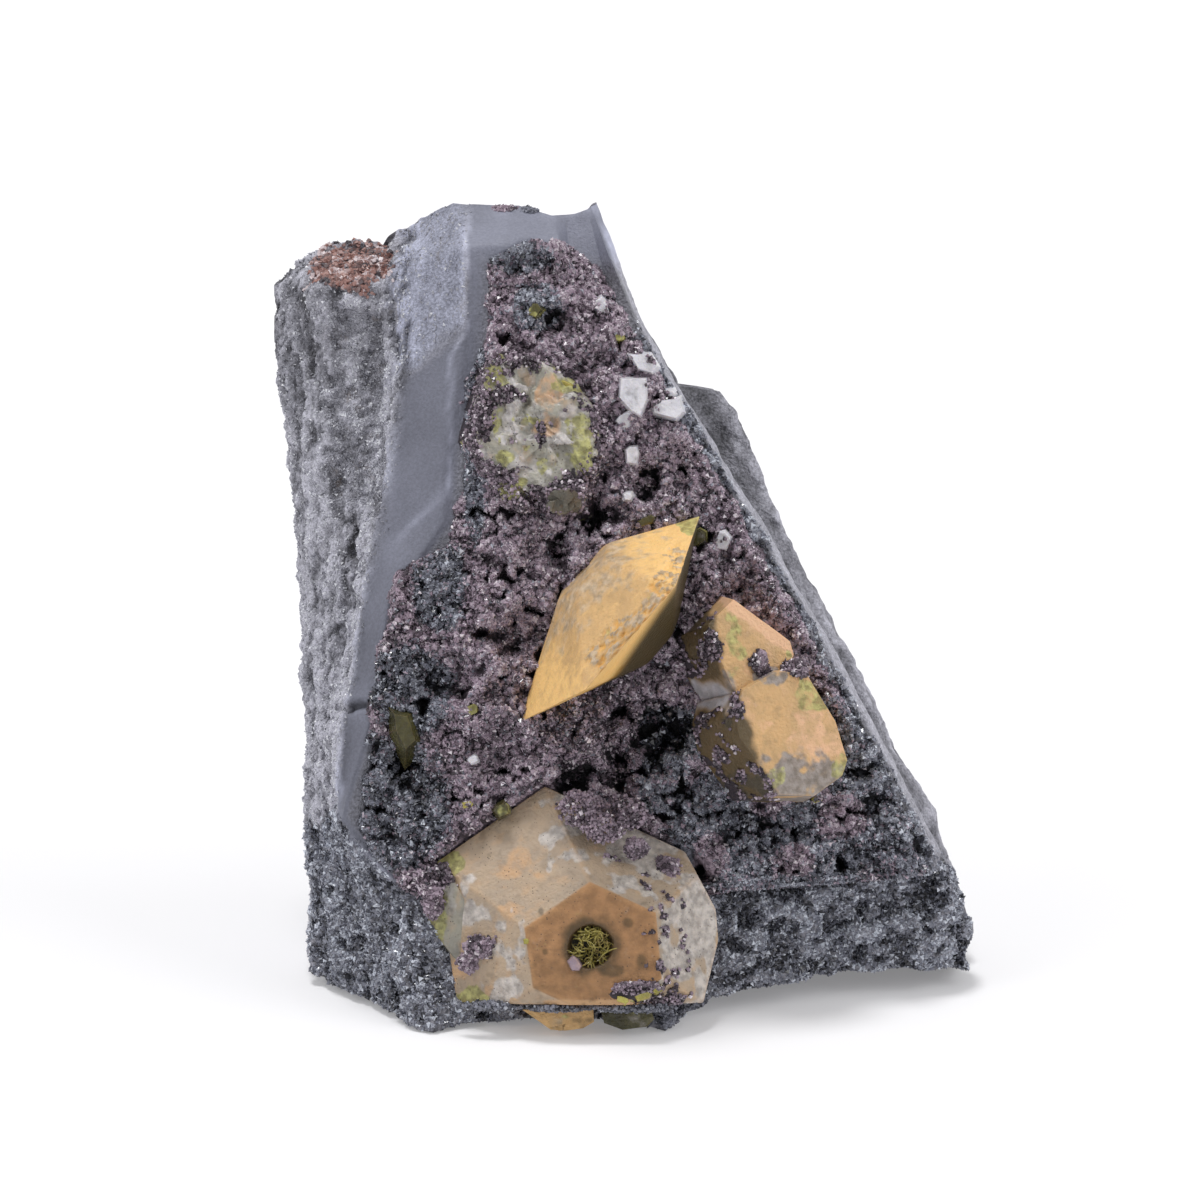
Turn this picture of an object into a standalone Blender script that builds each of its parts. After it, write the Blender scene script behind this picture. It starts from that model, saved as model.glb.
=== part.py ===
"""Sturmanite crystals on a garnet druse, on a broken block of manganese ore.

Everything is laid out on the block's front face: x runs to the right, h runs up along the face and
d runs back into the stone, all in millimetres. The face leans back, so the whole layout is turned
by LEAN when it is built. The block stands on a flat underside at Z = 0, with the origin in its middle.
"""
import math

import bmesh
import bpy
import numpy as np

MM = 0.001

# Driving dimensions, in millimetres and degrees
LEAN = 18.0
BLOCK_RISE = 58.0
GAP = 0.4
BED_DEPTH = 4.0
BED_SLOPE = 0.07
BED_FRONT = -20.0
CRUST_WIDTH = 34.0
CRUST_PROUD = 0.7
CRUST_THINNEST = 0.5
LUMP_HEIGHT = 0.75
LUMP_SIZE = 3.0
SMALL_LUMP_SHARE = 0.5
SMALL_LUMP_SIZE = 1.35
ROCK_WAVE = 0.4
ROCK_WAVE_SIZE = 5.5
BACK_WAVE = 1.0
BACK_WAVE_SIZE = 9.0
HIDDEN_FROM = 12.0
HIDDEN_OVER = 6.0
CALM_FOOT = 0.5
CALM_FADE = 3.0
FOOT_INSET = 3.0
FOOT_MIDDLE = 15.0
ROW_STEP = 2.0
CRUST_STEP = 1.1

# Settings of the plane cuts that shape the crystals
BLANK_SIZE = 80.0
CUT_TOLERANCE = 0.00001
MERGE_DISTANCE = 0.01

# Edge lines of the block, from the left rim round the front and back again.
# Each is a list of (h, x, d) from the foot to the top, with only the points where it bends.
EDGE_LINES = {
    "left_rim": [(4.4, -23.5, 10.0), (12.0, -23.8, 10.0), (32.5, -24.0, 10.0), (47.9, -25.8, 11.0),
                 (54.0, -26.7, 11.5), (56.6, -26.5, 11.5), (57.9, -25.8, 13.0)],
    "left_crease": [(3.3, -22.1, 8.5), (15.8, -22.9, 8.0), (32.5, -22.9, 8.0), (47.8, -24.1, 9.0),
                    (56.6, -24.8, 9.0), (58.5, -24.3, 12.5)],
    "left_ledge": [(2.8, -20.3, 6.5), (7.5, -21.1, 6.5), (15.8, -22.1, 6.5), (32.5, -21.9, 7.0),
                   (53.8, -22.5, 7.0), (56.3, -22.8, 6.5), (59.9, -21.9, 12.5)],
    "step_foot": [(1.6, -17.4, 3.0), (7.0, -19.4, 4.5), (15.7, -21.7, 5.0), (23.5, -21.3, 5.0),
                  (40.1, -19.3, 6.0), (47.7, -18.0, 6.0), (56.5, -17.9, 6.0), (60.1, -17.8, 11.5)],
    "step_top": [(0.3, -15.2, 0.3), (6.6, -16.8, 1.5), (12.3, -19.1, 2.5), (15.8, -21.4, 3.4),
                 (23.5, -20.7, 3.0), (40.1, -18.1, 3.5), (53.7, -15.8, 4.0), (58.1, -15.9, 4.8),
                 (61.6, -15.7, 9.0)],
    "ridge": [(0.1, -14.0, 0.0), (7.0, -15.0, 0.5), (12.1, -17.6, 1.2), (15.8, -20.9, 2.4),
              (23.5, -19.0, 1.6), (32.5, -17.6, 1.6), (38.5, -13.4, 1.5), (53.6, -11.9, 1.8),
              (58.9, -11.8, 2.4), (62.7, -12.7, 6.5)],
    "druse_left": [(0.7, -12.2, 1.0), (7.0, -13.5, 1.0), (11.8, -16.8, 1.0), (16.1, -20.4, 2.2),
                   (23.5, -18.5, 1.6), (32.5, -17.1, 1.6), (38.5, -12.6, 1.6), (53.6, -10.3, 1.8),
                   (59.1, -9.9, 2.2), (62.6, -10.1, 6.5)],
    "front_left": [(1.1, -7.5, 1.6), (7.7, -8.6, 1.6), (16.0, -10.5, 0.8), (23.5, -11.3, 0.5),
                   (32.5, -9.8, 0.5), (40.1, -7.5, 0.8), (53.6, -6.9, 1.4), (59.9, -6.8, 2.0),
                   (62.6, -7.7, 6.5)],
    "front_middle": [(1.1, 0.0, 1.8), (7.7, -0.4, 1.8), (23.5, -2.6, 0.6), (32.5, -3.0, 0.6),
                     (47.6, -3.8, 1.2), (59.7, -4.5, 2.2), (61.9, -5.2, 6.0)],
    "foot_lump": [(0.2, 3.4, 0.3), (2.6, 4.0, 1.2), (7.6, 4.4, 2.9), (23.5, 1.4, 0.9),
                  (40.1, -0.6, 1.2), (53.6, -2.9, 1.9), (61.9, -4.3, 6.0)],
    "front_right": [(2.6, 6.6, 3.0), (7.6, 8.7, 4.0), (12.2, 8.7, 2.6), (23.5, 5.3, 1.2),
                    (32.5, 3.4, 1.2), (40.1, 1.5, 1.5), (53.6, -1.7, 2.2), (61.9, -3.4, 6.0)],
    "front_far_right": [(4.4, 17.1, 7.0), (7.5, 17.1, 5.2), (12.1, 16.5, 4.0), (23.5, 12.4, 2.2),
                        (40.1, 5.3, 2.0), (53.7, -0.1, 2.5), (62.1, -2.4, 6.0)],
    "druse_right": [(4.7, 25.3, 8.0), (7.5, 25.9, 7.0), (12.1, 24.1, 5.4), (23.5, 18.3, 3.4),
                    (32.5, 13.4, 2.8), (40.1, 8.9, 2.8), (53.7, 1.1, 2.8), (58.1, -0.6, 3.0),
                    (62.3, -2.1, 6.2)],
    "right_rim": [(4.3, 26.5, 9.0), (6.6, 26.9, 8.6), (12.0, 25.0, 7.2), (23.5, 19.0, 5.2),
                  (32.5, 14.2, 4.6), (40.1, 9.6, 4.6), (53.7, 1.8, 4.6), (58.1, 0.1, 4.8),
                  (62.5, -1.7, 6.8)],
    "valley": [(4.6, 26.2, 12.5), (12.0, 24.6, 10.0), (23.5, 18.7, 8.6), (32.5, 13.9, 8.0),
               (53.7, 1.5, 7.6), (61.9, -2.0, 8.0)],
    "slab_front": [(4.9, 26.3, 14.0), (7.2, 26.9, 13.5), (11.8, 25.5, 12.0), (15.7, 23.9, 11.0),
                   (23.4, 20.1, 10.2), (32.5, 15.1, 9.5), (40.2, 11.4, 9.0), (47.0, 8.6, 9.0),
                   (48.3, 7.6, 9.0), (48.7, 4.4, 9.2), (58.4, -0.8, 9.0), (61.5, -2.3, 9.0)],
    "slab_back": [(6.8, 25.4, 20.0), (12.0, 25.0, 19.5), (23.4, 19.8, 18.5), (32.5, 14.7, 18.0),
                  (40.0, 10.9, 17.5), (46.6, 7.8, 17.0), (48.0, 4.2, 16.0), (58.0, -1.4, 12.0),
                  (60.6, -3.0, 10.5)],
    "back_right": [(9.0, 14.8, 27.0), (30.0, 11.0, 21.5), (47.0, 2.5, 16.5), (59.0, -5.0, 12.5)],
    "back_middle": [(9.4, -1.0, 28.4), (30.0, -3.0, 22.0), (50.0, -7.0, 15.5), (58.2, -10.0, 13.2)],
    "back_left": [(9.1, -14.0, 27.6), (30.0, -15.5, 22.0), (50.0, -16.5, 16.5), (57.4, -17.0, 14.6)],
    "left_back": [(7.8, -20.8, 23.0), (30.0, -22.6, 20.0), (50.0, -24.0, 17.5), (56.6, -24.3, 16.0)],
    "left_side": [(5.7, -23.3, 16.0), (30.0, -23.8, 15.0), (50.0, -25.8, 14.5), (57.0, -25.7, 14.4)],
}

# How many cells each stretch has, from one edge line to the next one round the block. The front,
# up to the right rim, and the rest have the same number, so that the top can join them in pairs
FRONT_CELLS = [1, 1, 2, 2, 1, 1, 2, 3, 2, 2, 3, 3, 1]
REST_CELLS = [1, 1, 2, 4, 5, 5, 3, 2, 1]
TOP_CELLS = 4
TOP_BULGE = 0.6

# Flat breaks on the hidden sides: outward direction (right, back, up) and distance from BREAK_MIDDLE
BREAK_MIDDLE = (0.0, 0.0, 28.0)
BREAKS = [((0.50, 0.75, 0.45), 18.0), ((-0.42, 0.80, 0.42), 29.5), ((0.10, 0.99, 0.12), 16.2),
          ((-0.62, 0.78, 0.06), 27.2), ((0.66, 0.72, 0.20), 16.8)]

# Left and right edges of the druse on the front face, as (h, x) from its foot to its top
CRUST_LEFT = [(7.2, -12.0), (11.6, -17.1), (15.4, -20.2), (21.5, -19.4), (29.0, -18.5), (34.8, -16.9),
              (36.8, -13.0), (42.0, -12.1), (48.8, -12.1), (52.0, -10.6), (58.2, -10.1), (60.0, -7.0)]
CRUST_RIGHT = [(7.2, -6.0), (9.2, 4.0), (10.8, 9.2), (11.2, 17.2), (11.8, 23.8), (15.9, 22.2),
               (23.5, 18.0), (32.5, 13.2), (40.1, 8.7), (47.7, 4.1), (53.7, 0.7), (57.6, -1.2),
               (59.4, -3.8), (60.0, -6.0)]

# Open pits of the druse: (x, h, radius, depth)
PITS = [(-2.2, 38.7, 1.7, 2.2), (-4.6, 36.2, 1.2, 1.6), (-3.4, 19.2, 1.8, 2.2), (-0.3, 19.8, 1.6, 2.0),
        (-4.9, 53.4, 1.5, 1.8), (2.2, 41.5, 1.2, 1.4), (3.2, 22.6, 3.0, 2.0), (-13.5, 26.5, 1.6, 1.5),
        (9.5, 15.5, 2.2, 1.8), (-8.5, 29.5, 1.3, 1.4), (18.8, 17.0, 1.3, 1.3), (-16.0, 20.0, 1.4, 1.3)]

# The big lens that faces the viewer: (azimuth, distance to the cap's edge, distance to the girdle)
LOWER_CENTRE = (-2.0, 6.7, 1.0)
LOWER_HALF_THICKNESS = 4.0
LOWER_FACES = [(5.0, 4.8, 9.4), (65.0, 4.2, 9.2), (125.0, 4.0, 11.8), (188.0, 4.8, 10.8),
               (245.0, 4.6, 10.5), (305.0, 4.8, 10.0)]
LOWER_BREAK = 4.35
LOWER_BACK = 3.2
CAP_PIT = (-2.2, 6.7, 1.75, 1.1)
CAP_PIT_SIDES = 14
CAP_PIT_FLOOR = 0.7

# The lens that stands out of the druse. Its axis points up and to the left, a little forward
MIDDLE_CENTRE = (-0.8, 31.1, -0.3)
MIDDLE_AXIS_TURN = 138.9
MIDDLE_TIP_FORWARD = 13.0
MIDDLE_HALF_THICKNESS = 3.9
MIDDLE_FACES_ABOVE = [(30.0, 3.8, 8.9), (90.0, 2.4, 8.9), (150.0, 1.2, 8.9), (210.0, 1.4, 8.9),
                      (270.0, 2.4, 8.9), (330.0, 3.8, 8.9)]
MIDDLE_FACES_BELOW = [(30.0, 3.2, 8.9), (90.0, 2.6, 8.9), (150.0, 1.8, 8.9), (210.0, 1.8, 8.9),
                      (270.0, 2.6, 8.9), (330.0, 3.2, 8.9)]

# Flat-faced crystals. Each lobe has its front outline (x, h), the depth of its front face at the
# middle, that face's slopes along x and h, how far its sides splay, and its thickness
RIGHT_LOBES = [
    dict(outline=[(8.6, 32.5), (12.7, 29.6), (13.0, 28.5), (12.2, 25.6), (9.0, 24.6), (6.7, 29.2),
                  (6.6, 30.8)],
         front=-2.6, slopes=(0.42, 0.10), splay=(-4.0, -4.0, 0.0, 0.0, 34.0, 30.0, 10.0),
         thickness=5.0),
    dict(outline=[(9.4, 26.0), (11.8, 27.2), (13.9, 27.1), (16.0, 23.7), (17.0, 20.6), (16.6, 19.4),
                  (14.5, 17.9), (12.0, 17.9), (9.2, 20.9), (8.5, 23.6)],
         front=-2.9, slopes=(0.38, 0.03),
         splay=(8.0, 5.0, -4.0, -4.0, -4.0, 0.0, 8.0, 36.0, 38.0, 34.0), thickness=5.2),
]
UPPER_LOBES = [
    dict(outline=[(-10.7, 44.6), (-9.6, 49.6), (-7.4, 50.8), (-5.4, 49.8), (-2.2, 46.4), (-1.8, 43.6),
                  (-2.6, 41.5), (-5.4, 40.2), (-9.2, 41.2)],
         front=-1.2, slopes=(0.05, 0.03), splay=(24.0,) * 9, thickness=3.4),
    dict(outline=[(-5.6, 40.6), (-2.8, 41.0), (-3.0, 39.5), (-4.5, 38.9), (-5.4, 39.3)],
         front=-1.4, slopes=(0.0, -0.15), splay=(15.0,) * 5, thickness=4.0),
    dict(outline=[(-9.3, 41.2), (-8.8, 41.9), (-8.0, 41.3), (-6.9, 39.5), (-7.4, 39.4), (-8.6, 40.1)],
         front=-1.5, slopes=(0.1, -0.1), splay=(10.0,) * 6, thickness=3.8),
]
FOOT_ORANGE_LOBES = [
    dict(outline=[(-7.3, 1.9), (-2.0, 1.9), (-1.9, 1.0), (-2.7, 0.5), (-4.1, 0.3), (-5.4, 0.5),
                  (-6.5, 1.3)],
         front=-1.0, slopes=(0.0, -0.1), splay=(0.0,) + (-24.0,) * 6, thickness=3.6),
]
FOOT_OLIVE_LOBES = [
    dict(outline=[(-1.4, 1.85), (2.3, 1.9), (2.6, 1.2), (2.1, 0.6), (0.2, 0.35), (-1.2, 0.9)],
         front=-0.8, slopes=(0.0, -0.1), splay=(0.0,) + (-24.0,) * 5, thickness=3.4),
]
OLIVE_BLADE_LOBES = [
    dict(outline=[(-16.9, 24.0), (-15.9, 23.7), (-15.4, 22.0), (-16.0, 21.3), (-16.7, 22.6)],
         front=-0.5, slopes=(0.3, 0.0), splay=(20.0,) * 5, thickness=2.6),
]
PALE_PLATES = {
    "pale_plate_left": [
        dict(outline=[(0.1, 49.1), (1.9, 49.1), (2.0, 47.7), (1.5, 46.4), (0.8, 46.8), (0.0, 47.7)],
             front=-0.5, slopes=(0.05, 0.0), splay=(8.0,) * 6, thickness=2.6)],
    "pale_plate_right": [
        dict(outline=[(2.5, 47.4), (4.4, 47.6), (4.7, 46.7), (4.2, 46.2), (2.6, 46.6)],
             front=0.3, slopes=(0.1, 0.1), splay=(8.0,) * 5, thickness=2.6)],
    "pale_plate_top": [
        dict(outline=[(0.8, 50.9), (2.2, 50.9), (2.7, 50.1), (2.4, 49.6), (1.4, 49.9)],
             front=0.1, slopes=(0.1, 0.0), splay=(8.0,) * 5, thickness=2.4)],
}

# Colours, roughness
ROCK_LOOK = ((0.13, 0.13, 0.15), 0.62)
CRUST_LOOK = ((0.11, 0.085, 0.10), 0.55)
TAN_LOOK = ((0.52, 0.36, 0.20), 0.5)
OCHRE_LOOK = ((0.60, 0.40, 0.16), 0.45)
COATED_LOOK = ((0.30, 0.28, 0.24), 0.6)
OLIVE_LOOK = ((0.14, 0.13, 0.05), 0.4)
PALE_LOOK = ((0.55, 0.53, 0.55), 0.5)


def clear_scene():
    """Start from an empty file."""
    for item in list(bpy.data.objects):
        bpy.data.objects.remove(item)


def to_world(points):
    """Turn (x, h, d) rows in millimetres into world rows in metres.

    The face leans back by LEAN, and the origin lies FOOT_MIDDLE behind the foot of the face.
    """
    points = np.asarray(points, dtype=float)
    lean = math.radians(LEAN)
    x, h, d = points[..., 0], points[..., 1], points[..., 2]
    back = d * math.cos(lean) + h * math.sin(lean) - FOOT_MIDDLE
    up = h * math.cos(lean) - d * math.sin(lean)
    return MM * np.stack([x, back, up], axis=-1)


def from_world(place):
    """Turn world rows in millimetres back into (x, h, d) rows."""
    lean = math.radians(LEAN)
    back = place[..., 1] + FOOT_MIDDLE
    h = back * math.sin(lean) + place[..., 2] * math.cos(lean)
    d = back * math.cos(lean) - place[..., 2] * math.sin(lean)
    return np.stack([place[..., 0], h, d], axis=-1)


def lattice_value(ix, iy, iz, seed):
    """A fixed pseudo-random number from -1 to 1 for each corner of a cubic lattice."""
    n = (ix * 374761393 + iy * 668265263 + iz * 2147483647 + seed * 144665) & 0xFFFFFFFF
    n = ((n ^ (n >> 13)) * 1274126177) & 0xFFFFFFFF
    n = (n ^ (n >> 16)) & 0xFFFFFF
    return n / float(0x7FFFFF) - 1.0


def wave(points, size, seed):
    """Smooth noise from -1 to 1: lattice numbers blended along the three axes."""
    scaled = np.asarray(points, dtype=float) / size + 1000.0
    cell = np.floor(scaled).astype(np.int64)
    part = scaled - cell
    part = part * part * (3.0 - 2.0 * part)
    total = 0.0
    for corner in range(8):
        step = np.array([corner & 1, (corner >> 1) & 1, (corner >> 2) & 1])
        weight = np.prod(np.where(step == 1, part, 1.0 - part), axis=-1)
        at = cell + step
        total = total + weight * lattice_value(at[..., 0], at[..., 1], at[..., 2], seed)
    return total


def edge_point(line, share):
    """The (x, h, d) at a share of the height of one edge line, by straight runs between its bends."""
    heights = [point[0] for point in line]
    h = heights[0] + share * (heights[-1] - heights[0])
    x = np.interp(h, heights, [point[1] for point in line])
    d = np.interp(h, heights, [point[2] for point in line])
    return (x, h, d)


def front_depth(x, h):
    """Depth of the block's front face at (x, h), read across the front edge lines at that height."""
    names = ["step_top", "ridge", "druse_left", "front_left", "front_middle", "foot_lump",
             "front_right", "front_far_right", "druse_right", "right_rim"]
    x = np.asarray(x, dtype=float)
    h = np.asarray(h, dtype=float)
    depth = np.empty(x.shape)
    for index in np.ndindex(x.shape):
        crossing = []
        for name in names:
            heights, xs, ds = zip(*EDGE_LINES[name])
            crossing.append((np.interp(h[index], heights, xs), np.interp(h[index], heights, ds)))
        crossing.sort()
        depth[index] = np.interp(x[index], [c[0] for c in crossing], [c[1] for c in crossing])
    return depth


def hidden_share(points):
    """0 where the block shows from the front, rising to 1 deep behind its face."""
    return np.clip((points[..., 2] - HIDDEN_FROM) / HIDDEN_OVER, 0.0, 1.0)


def broken(points):
    """Break the hidden sides flat: a point outside a break's plane is set down onto that plane."""
    place = to_world(points) / MM - np.array(BREAK_MIDDLE)
    share = hidden_share(points)
    for direction, distance in BREAKS:
        outward = unit(direction)
        beyond = np.maximum(place @ outward - distance, 0.0) * share
        place = place - beyond[..., None] * outward
    return from_world(place + np.array(BREAK_MIDDLE))


def weathered(points):
    """Push the smooth block's surface about: gently in front, more on its broken back, not at the foot."""
    depth_share = hidden_share(points)
    size = ROCK_WAVE + (BACK_WAVE - ROCK_WAVE) * depth_share
    above_foot = np.clip((to_world(points)[..., 2] / MM - CALM_FOOT) / CALM_FADE, 0.0, 1.0)
    push = []
    for axis, seed in enumerate((11, 12, 13)):
        fine = wave(points, ROCK_WAVE_SIZE, seed)
        broad = wave(points, BACK_WAVE_SIZE, seed + 10)
        push.append((fine * (1.0 - depth_share) + broad * depth_share) * size * above_foot)
    return points + np.stack(push, axis=-1)


def block_rings():
    """Rings of points round the block, from its foot to its top, one row of the surface each."""
    lines = list(EDGE_LINES.values())
    rows = int(round(BLOCK_RISE / ROW_STEP))
    rings = []
    for row in range(rows + 1):
        share = row / rows
        corners = [edge_point(line, share) for line in lines]
        ring = []
        for here, after, cells in zip(corners, corners[1:] + corners[:1], FRONT_CELLS + REST_CELLS):
            for cell in range(cells):
                ring.append(np.array(here) + (np.array(after) - np.array(here)) * cell / cells)
        rings.append(ring)
    return np.array(rings)


def foot_ring(rim):
    """The edge of the flat underside: the rim drawn in by FOOT_INSET and set down to Z = 0."""
    flat = to_world(rim) / MM
    middle = flat[:, :2].mean(axis=0)
    arm = flat[:, :2] - middle
    length = np.linalg.norm(arm, axis=1, keepdims=True)
    plan = middle + arm * (length - FOOT_INSET) / length
    return from_world(np.stack([plan[:, 0], plan[:, 1], np.zeros(len(plan))], axis=-1))


def make_object(name, vertices, faces, look):
    """A mesh object from (x, h, d) points in millimetres, with its faces turned outwards."""
    mesh = bpy.data.meshes.new(name)
    mesh.from_pydata(to_world(vertices).tolist(), [], faces)
    form = bmesh.new()
    form.from_mesh(mesh)
    bmesh.ops.recalc_face_normals(form, faces=form.faces)
    form.to_mesh(mesh)
    form.free()
    item = bpy.data.objects.new(name, mesh)
    bpy.context.collection.objects.link(item)
    if look is not None:
        mesh.materials.append(make_material(name, look))
    return item


def make_material(name, look):
    """A plain Principled finish: colour and roughness."""
    colour, roughness = look
    finish = bpy.data.materials.new(name + "_finish")
    finish.use_nodes = True
    shader = finish.node_tree.nodes["Principled BSDF"]
    shader.inputs["Base Color"].default_value = (*colour, 1.0)
    shader.inputs["Roughness"].default_value = roughness
    shader.inputs["Metallic"].default_value = 0.0
    finish.diffuse_color = (*colour, 1.0)
    return finish


def ring_faces(rows, columns):
    """Quads between neighbouring rings of a closed sleeve."""
    faces = []
    for row in range(rows - 1):
        for column in range(columns):
            after = (column + 1) % columns
            faces.append((row * columns + column, row * columns + after,
                          (row + 1) * columns + after, (row + 1) * columns + column))
    return faces


def top_patch(rim, first):
    """Points and faces that close the top: strips from each front point of the rim to its pair behind.

    The rim's vertices start at index first. New points lie on straight lines between the pairs,
    raised to a low crown, and the two end points of the rim are their own pairs.
    """
    columns = len(rim)
    half = columns // 2
    fresh = []
    index = []
    start = first + columns
    for column in range(half + 1):
        pair = (columns - column) % columns
        row = [first + column]
        if 0 < column < half:
            for step in range(1, TOP_CELLS):
                share = step / TOP_CELLS
                point = rim[column] * (1.0 - share) + rim[pair] * share
                point[1] += TOP_BULGE * 4.0 * share * (1.0 - share)
                row.append(start + len(fresh))
                fresh.append(point)
            row.append(first + pair)
        else:
            row += [first + column] * TOP_CELLS
        index.append(row)
    faces = []
    for here, after in zip(index, index[1:]):
        for step in range(TOP_CELLS):
            corners = [here[step], after[step], after[step + 1], here[step + 1]]
            kept = [c for i, c in enumerate(corners) if c not in corners[:i]]
            if len(kept) > 2:
                faces.append(tuple(kept))
    return np.array(fresh), faces


def make_rock():
    """The block of ore: rings lofted over its edge lines, a sloping top and a flat underside."""
    rings = block_rings()
    body = broken(weathered(rings))
    columns = rings.shape[1]
    rows = [foot_ring(rings[0])] + list(body)
    faces = ring_faces(len(rows), columns)
    crown, crown_faces = top_patch(body[-1], (len(rows) - 1) * columns)
    faces += crown_faces
    faces.append(tuple(range(columns)))
    return make_object("host_rock", np.concatenate(rows + [crown]), faces, ROCK_LOOK)


def drawn_in(outline, distance):
    """A clockwise outline with every side moved inwards by a distance and mitred at the corners."""
    points = np.array(outline)
    along = np.roll(points, -1, axis=0) - points
    along /= np.linalg.norm(along, axis=1, keepdims=True)
    inward = np.stack([along[:, 1], -along[:, 0]], axis=-1)
    before = np.roll(inward, 1, axis=0)
    mitre = inward + before
    mitre /= (mitre * inward).sum(axis=1, keepdims=True)
    return points + distance * mitre


def bed_depth(x):
    """Depth of the flat bed that the druse lies in."""
    return BED_DEPTH + BED_SLOPE * x


def make_bed():
    """What the bed takes out of the block: the druse's outline carried back to the bed."""
    outline = [(x, h) for h, x in CRUST_LEFT] + [(x, h) for h, x in reversed(CRUST_RIGHT)]
    count = len(outline)
    vertices = [(x, h, BED_FRONT) for x, h in outline] + [(x, h, bed_depth(x)) for x, h in outline]
    faces = [tuple(range(count)), tuple(range(2 * count - 1, count - 1, -1))]
    for corner in range(count):
        after = (corner + 1) % count
        faces.append((corner, corner + count, after + count, after))
    return make_object("crust_bed", np.array(vertices), faces, None)


def crust_height(x, h):
    """How far the druse stands out of the block's face: a base, rounded lumps, less its open pits."""
    flat = np.stack([x, h, np.zeros_like(x)], axis=-1)
    lumps = wave(flat, LUMP_SIZE, 31) + SMALL_LUMP_SHARE * wave(flat, SMALL_LUMP_SIZE, 32)
    height = CRUST_PROUD + LUMP_HEIGHT * lumps
    for px, ph, radius, depth in PITS:
        away = ((x - px) ** 2 + (h - ph) ** 2) / radius ** 2
        height = height - depth * np.exp(-away * away)
    return height


def make_crust():
    """The druse: its lumpy front and the flat bed behind it, clear of the stone by GAP all round."""
    outline = [(x, h) for h, x in CRUST_LEFT] + [(x, h) for h, x in reversed(CRUST_RIGHT)]
    inner = drawn_in(outline, GAP)
    left = inner[:len(CRUST_LEFT)]
    right = inner[len(CRUST_LEFT):][::-1]
    lowest = max(left[0][1], right[0][1])
    highest = min(left[-1][1], right[-1][1])
    rows = int(round((highest - lowest) / CRUST_STEP))
    columns = int(round(CRUST_WIDTH / CRUST_STEP))
    levels = sorted(set(np.linspace(lowest, highest, rows + 1)) | set(right[1:5, 1]))
    h = np.repeat(np.array(levels)[:, None], columns + 1, axis=1)
    start = np.interp(levels, left[:, 1], left[:, 0])[:, None]
    end = np.interp(levels, right[:, 1], right[:, 0])[:, None]
    x = start + (end - start) * np.linspace(0.0, 1.0, columns + 1)[None, :]
    proud = crust_height(x, h)
    outer = front_depth(x, h) - proud
    inner_bed = bed_depth(x) - GAP
    outer = np.minimum(outer, inner_bed - CRUST_THINNEST)
    near = np.stack([x, h, outer], axis=-1).reshape(-1, 3)
    far = np.stack([x, h, inner_bed], axis=-1).reshape(-1, 3)
    return make_object("garnet_crust", np.concatenate([near, far]),
                       block_faces(len(levels), columns + 1), CRUST_LOOK)


def block_faces(rows, columns):
    """Faces of a closed block made of two like grids, one in front of the other."""
    shift = rows * columns
    faces = []
    for row in range(rows - 1):
        for column in range(columns - 1):
            a = row * columns + column
            quad = (a, a + 1, a + 1 + columns, a + columns)
            faces.append(quad)
            faces.append(tuple(shift + corner for corner in reversed(quad)))
    rim = list(range(columns))
    rim += [row * columns + columns - 1 for row in range(1, rows)]
    rim += [(rows - 1) * columns + column for column in range(columns - 2, -1, -1)]
    rim += [row * columns for row in range(rows - 2, 0, -1)]
    for here, after in zip(rim, rim[1:] + rim[:1]):
        faces.append((here, here + shift, after + shift, after))
    return faces


def hide_guide(item):
    """A guide or cutter: drawn as wires and never part of the object."""
    item.hide_render = True
    item.display_type = "WIRE"


def add_boolean(item, other, operation):
    """One exact Boolean step on an object, with another object or a whole collection of cutters."""
    step = item.modifiers.new(operation.lower() + "_" + other.name, "BOOLEAN")
    step.operation = operation
    step.solver = "EXACT"
    if isinstance(other, bpy.types.Collection):
        step.operand_type = "COLLECTION"
        step.collection = other
    else:
        step.object = other


def unit(vector):
    """The vector at length one."""
    vector = np.array(vector, dtype=float)
    return vector / np.linalg.norm(vector)


def pyramid_planes(axis, start, faces, height, side):
    """Planes of one half of a hexagonal lens.

    Each face runs from the girdle, at its own distance in the middle plane, to the cap's edge, at a
    distance of its own and a height along the axis. The plane is given by its outward direction and
    its distance from the middle of the crystal.
    """
    across = np.cross(axis, start)
    planes = []
    for azimuth, cap, girdle in faces:
        angle = math.radians(azimuth)
        out = start * math.cos(angle) + across * math.sin(angle)
        direction = unit(height * out + (girdle - cap) * side * axis)
        planes.append((direction, float(direction @ (girdle * out))))
    planes.append((side * axis, height))
    return planes


def lobe_planes(outline, front, slopes, splay, thickness):
    """Middle and planes of a flat-faced crystal: a front face, a parallel back and its sides."""
    points = np.array(outline)
    mean = points.mean(axis=0)
    middle = np.array([mean[0], mean[1], front + 0.5 * thickness])
    facing = unit((slopes[0], slopes[1], -1.0))
    on_face = np.array([mean[0], mean[1], front])
    planes = [(facing, float(facing @ (on_face - middle))), (-facing, 0.5 * thickness)]
    after = np.roll(points, -1, axis=0)
    for here, there, angle in zip(points, after, splay):
        along = unit(there - here)
        out = np.array([-along[1], along[0]])
        tilt = math.radians(angle)
        direction = np.array([out[0] * math.cos(tilt), out[1] * math.cos(tilt), -math.sin(tilt)])
        depth = front + slopes[0] * (here[0] - mean[0]) + slopes[1] * (here[1] - mean[1])
        corner = np.array([here[0], here[1], depth])
        planes.append((direction, float(direction @ (corner - middle))))
    return middle, planes


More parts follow.
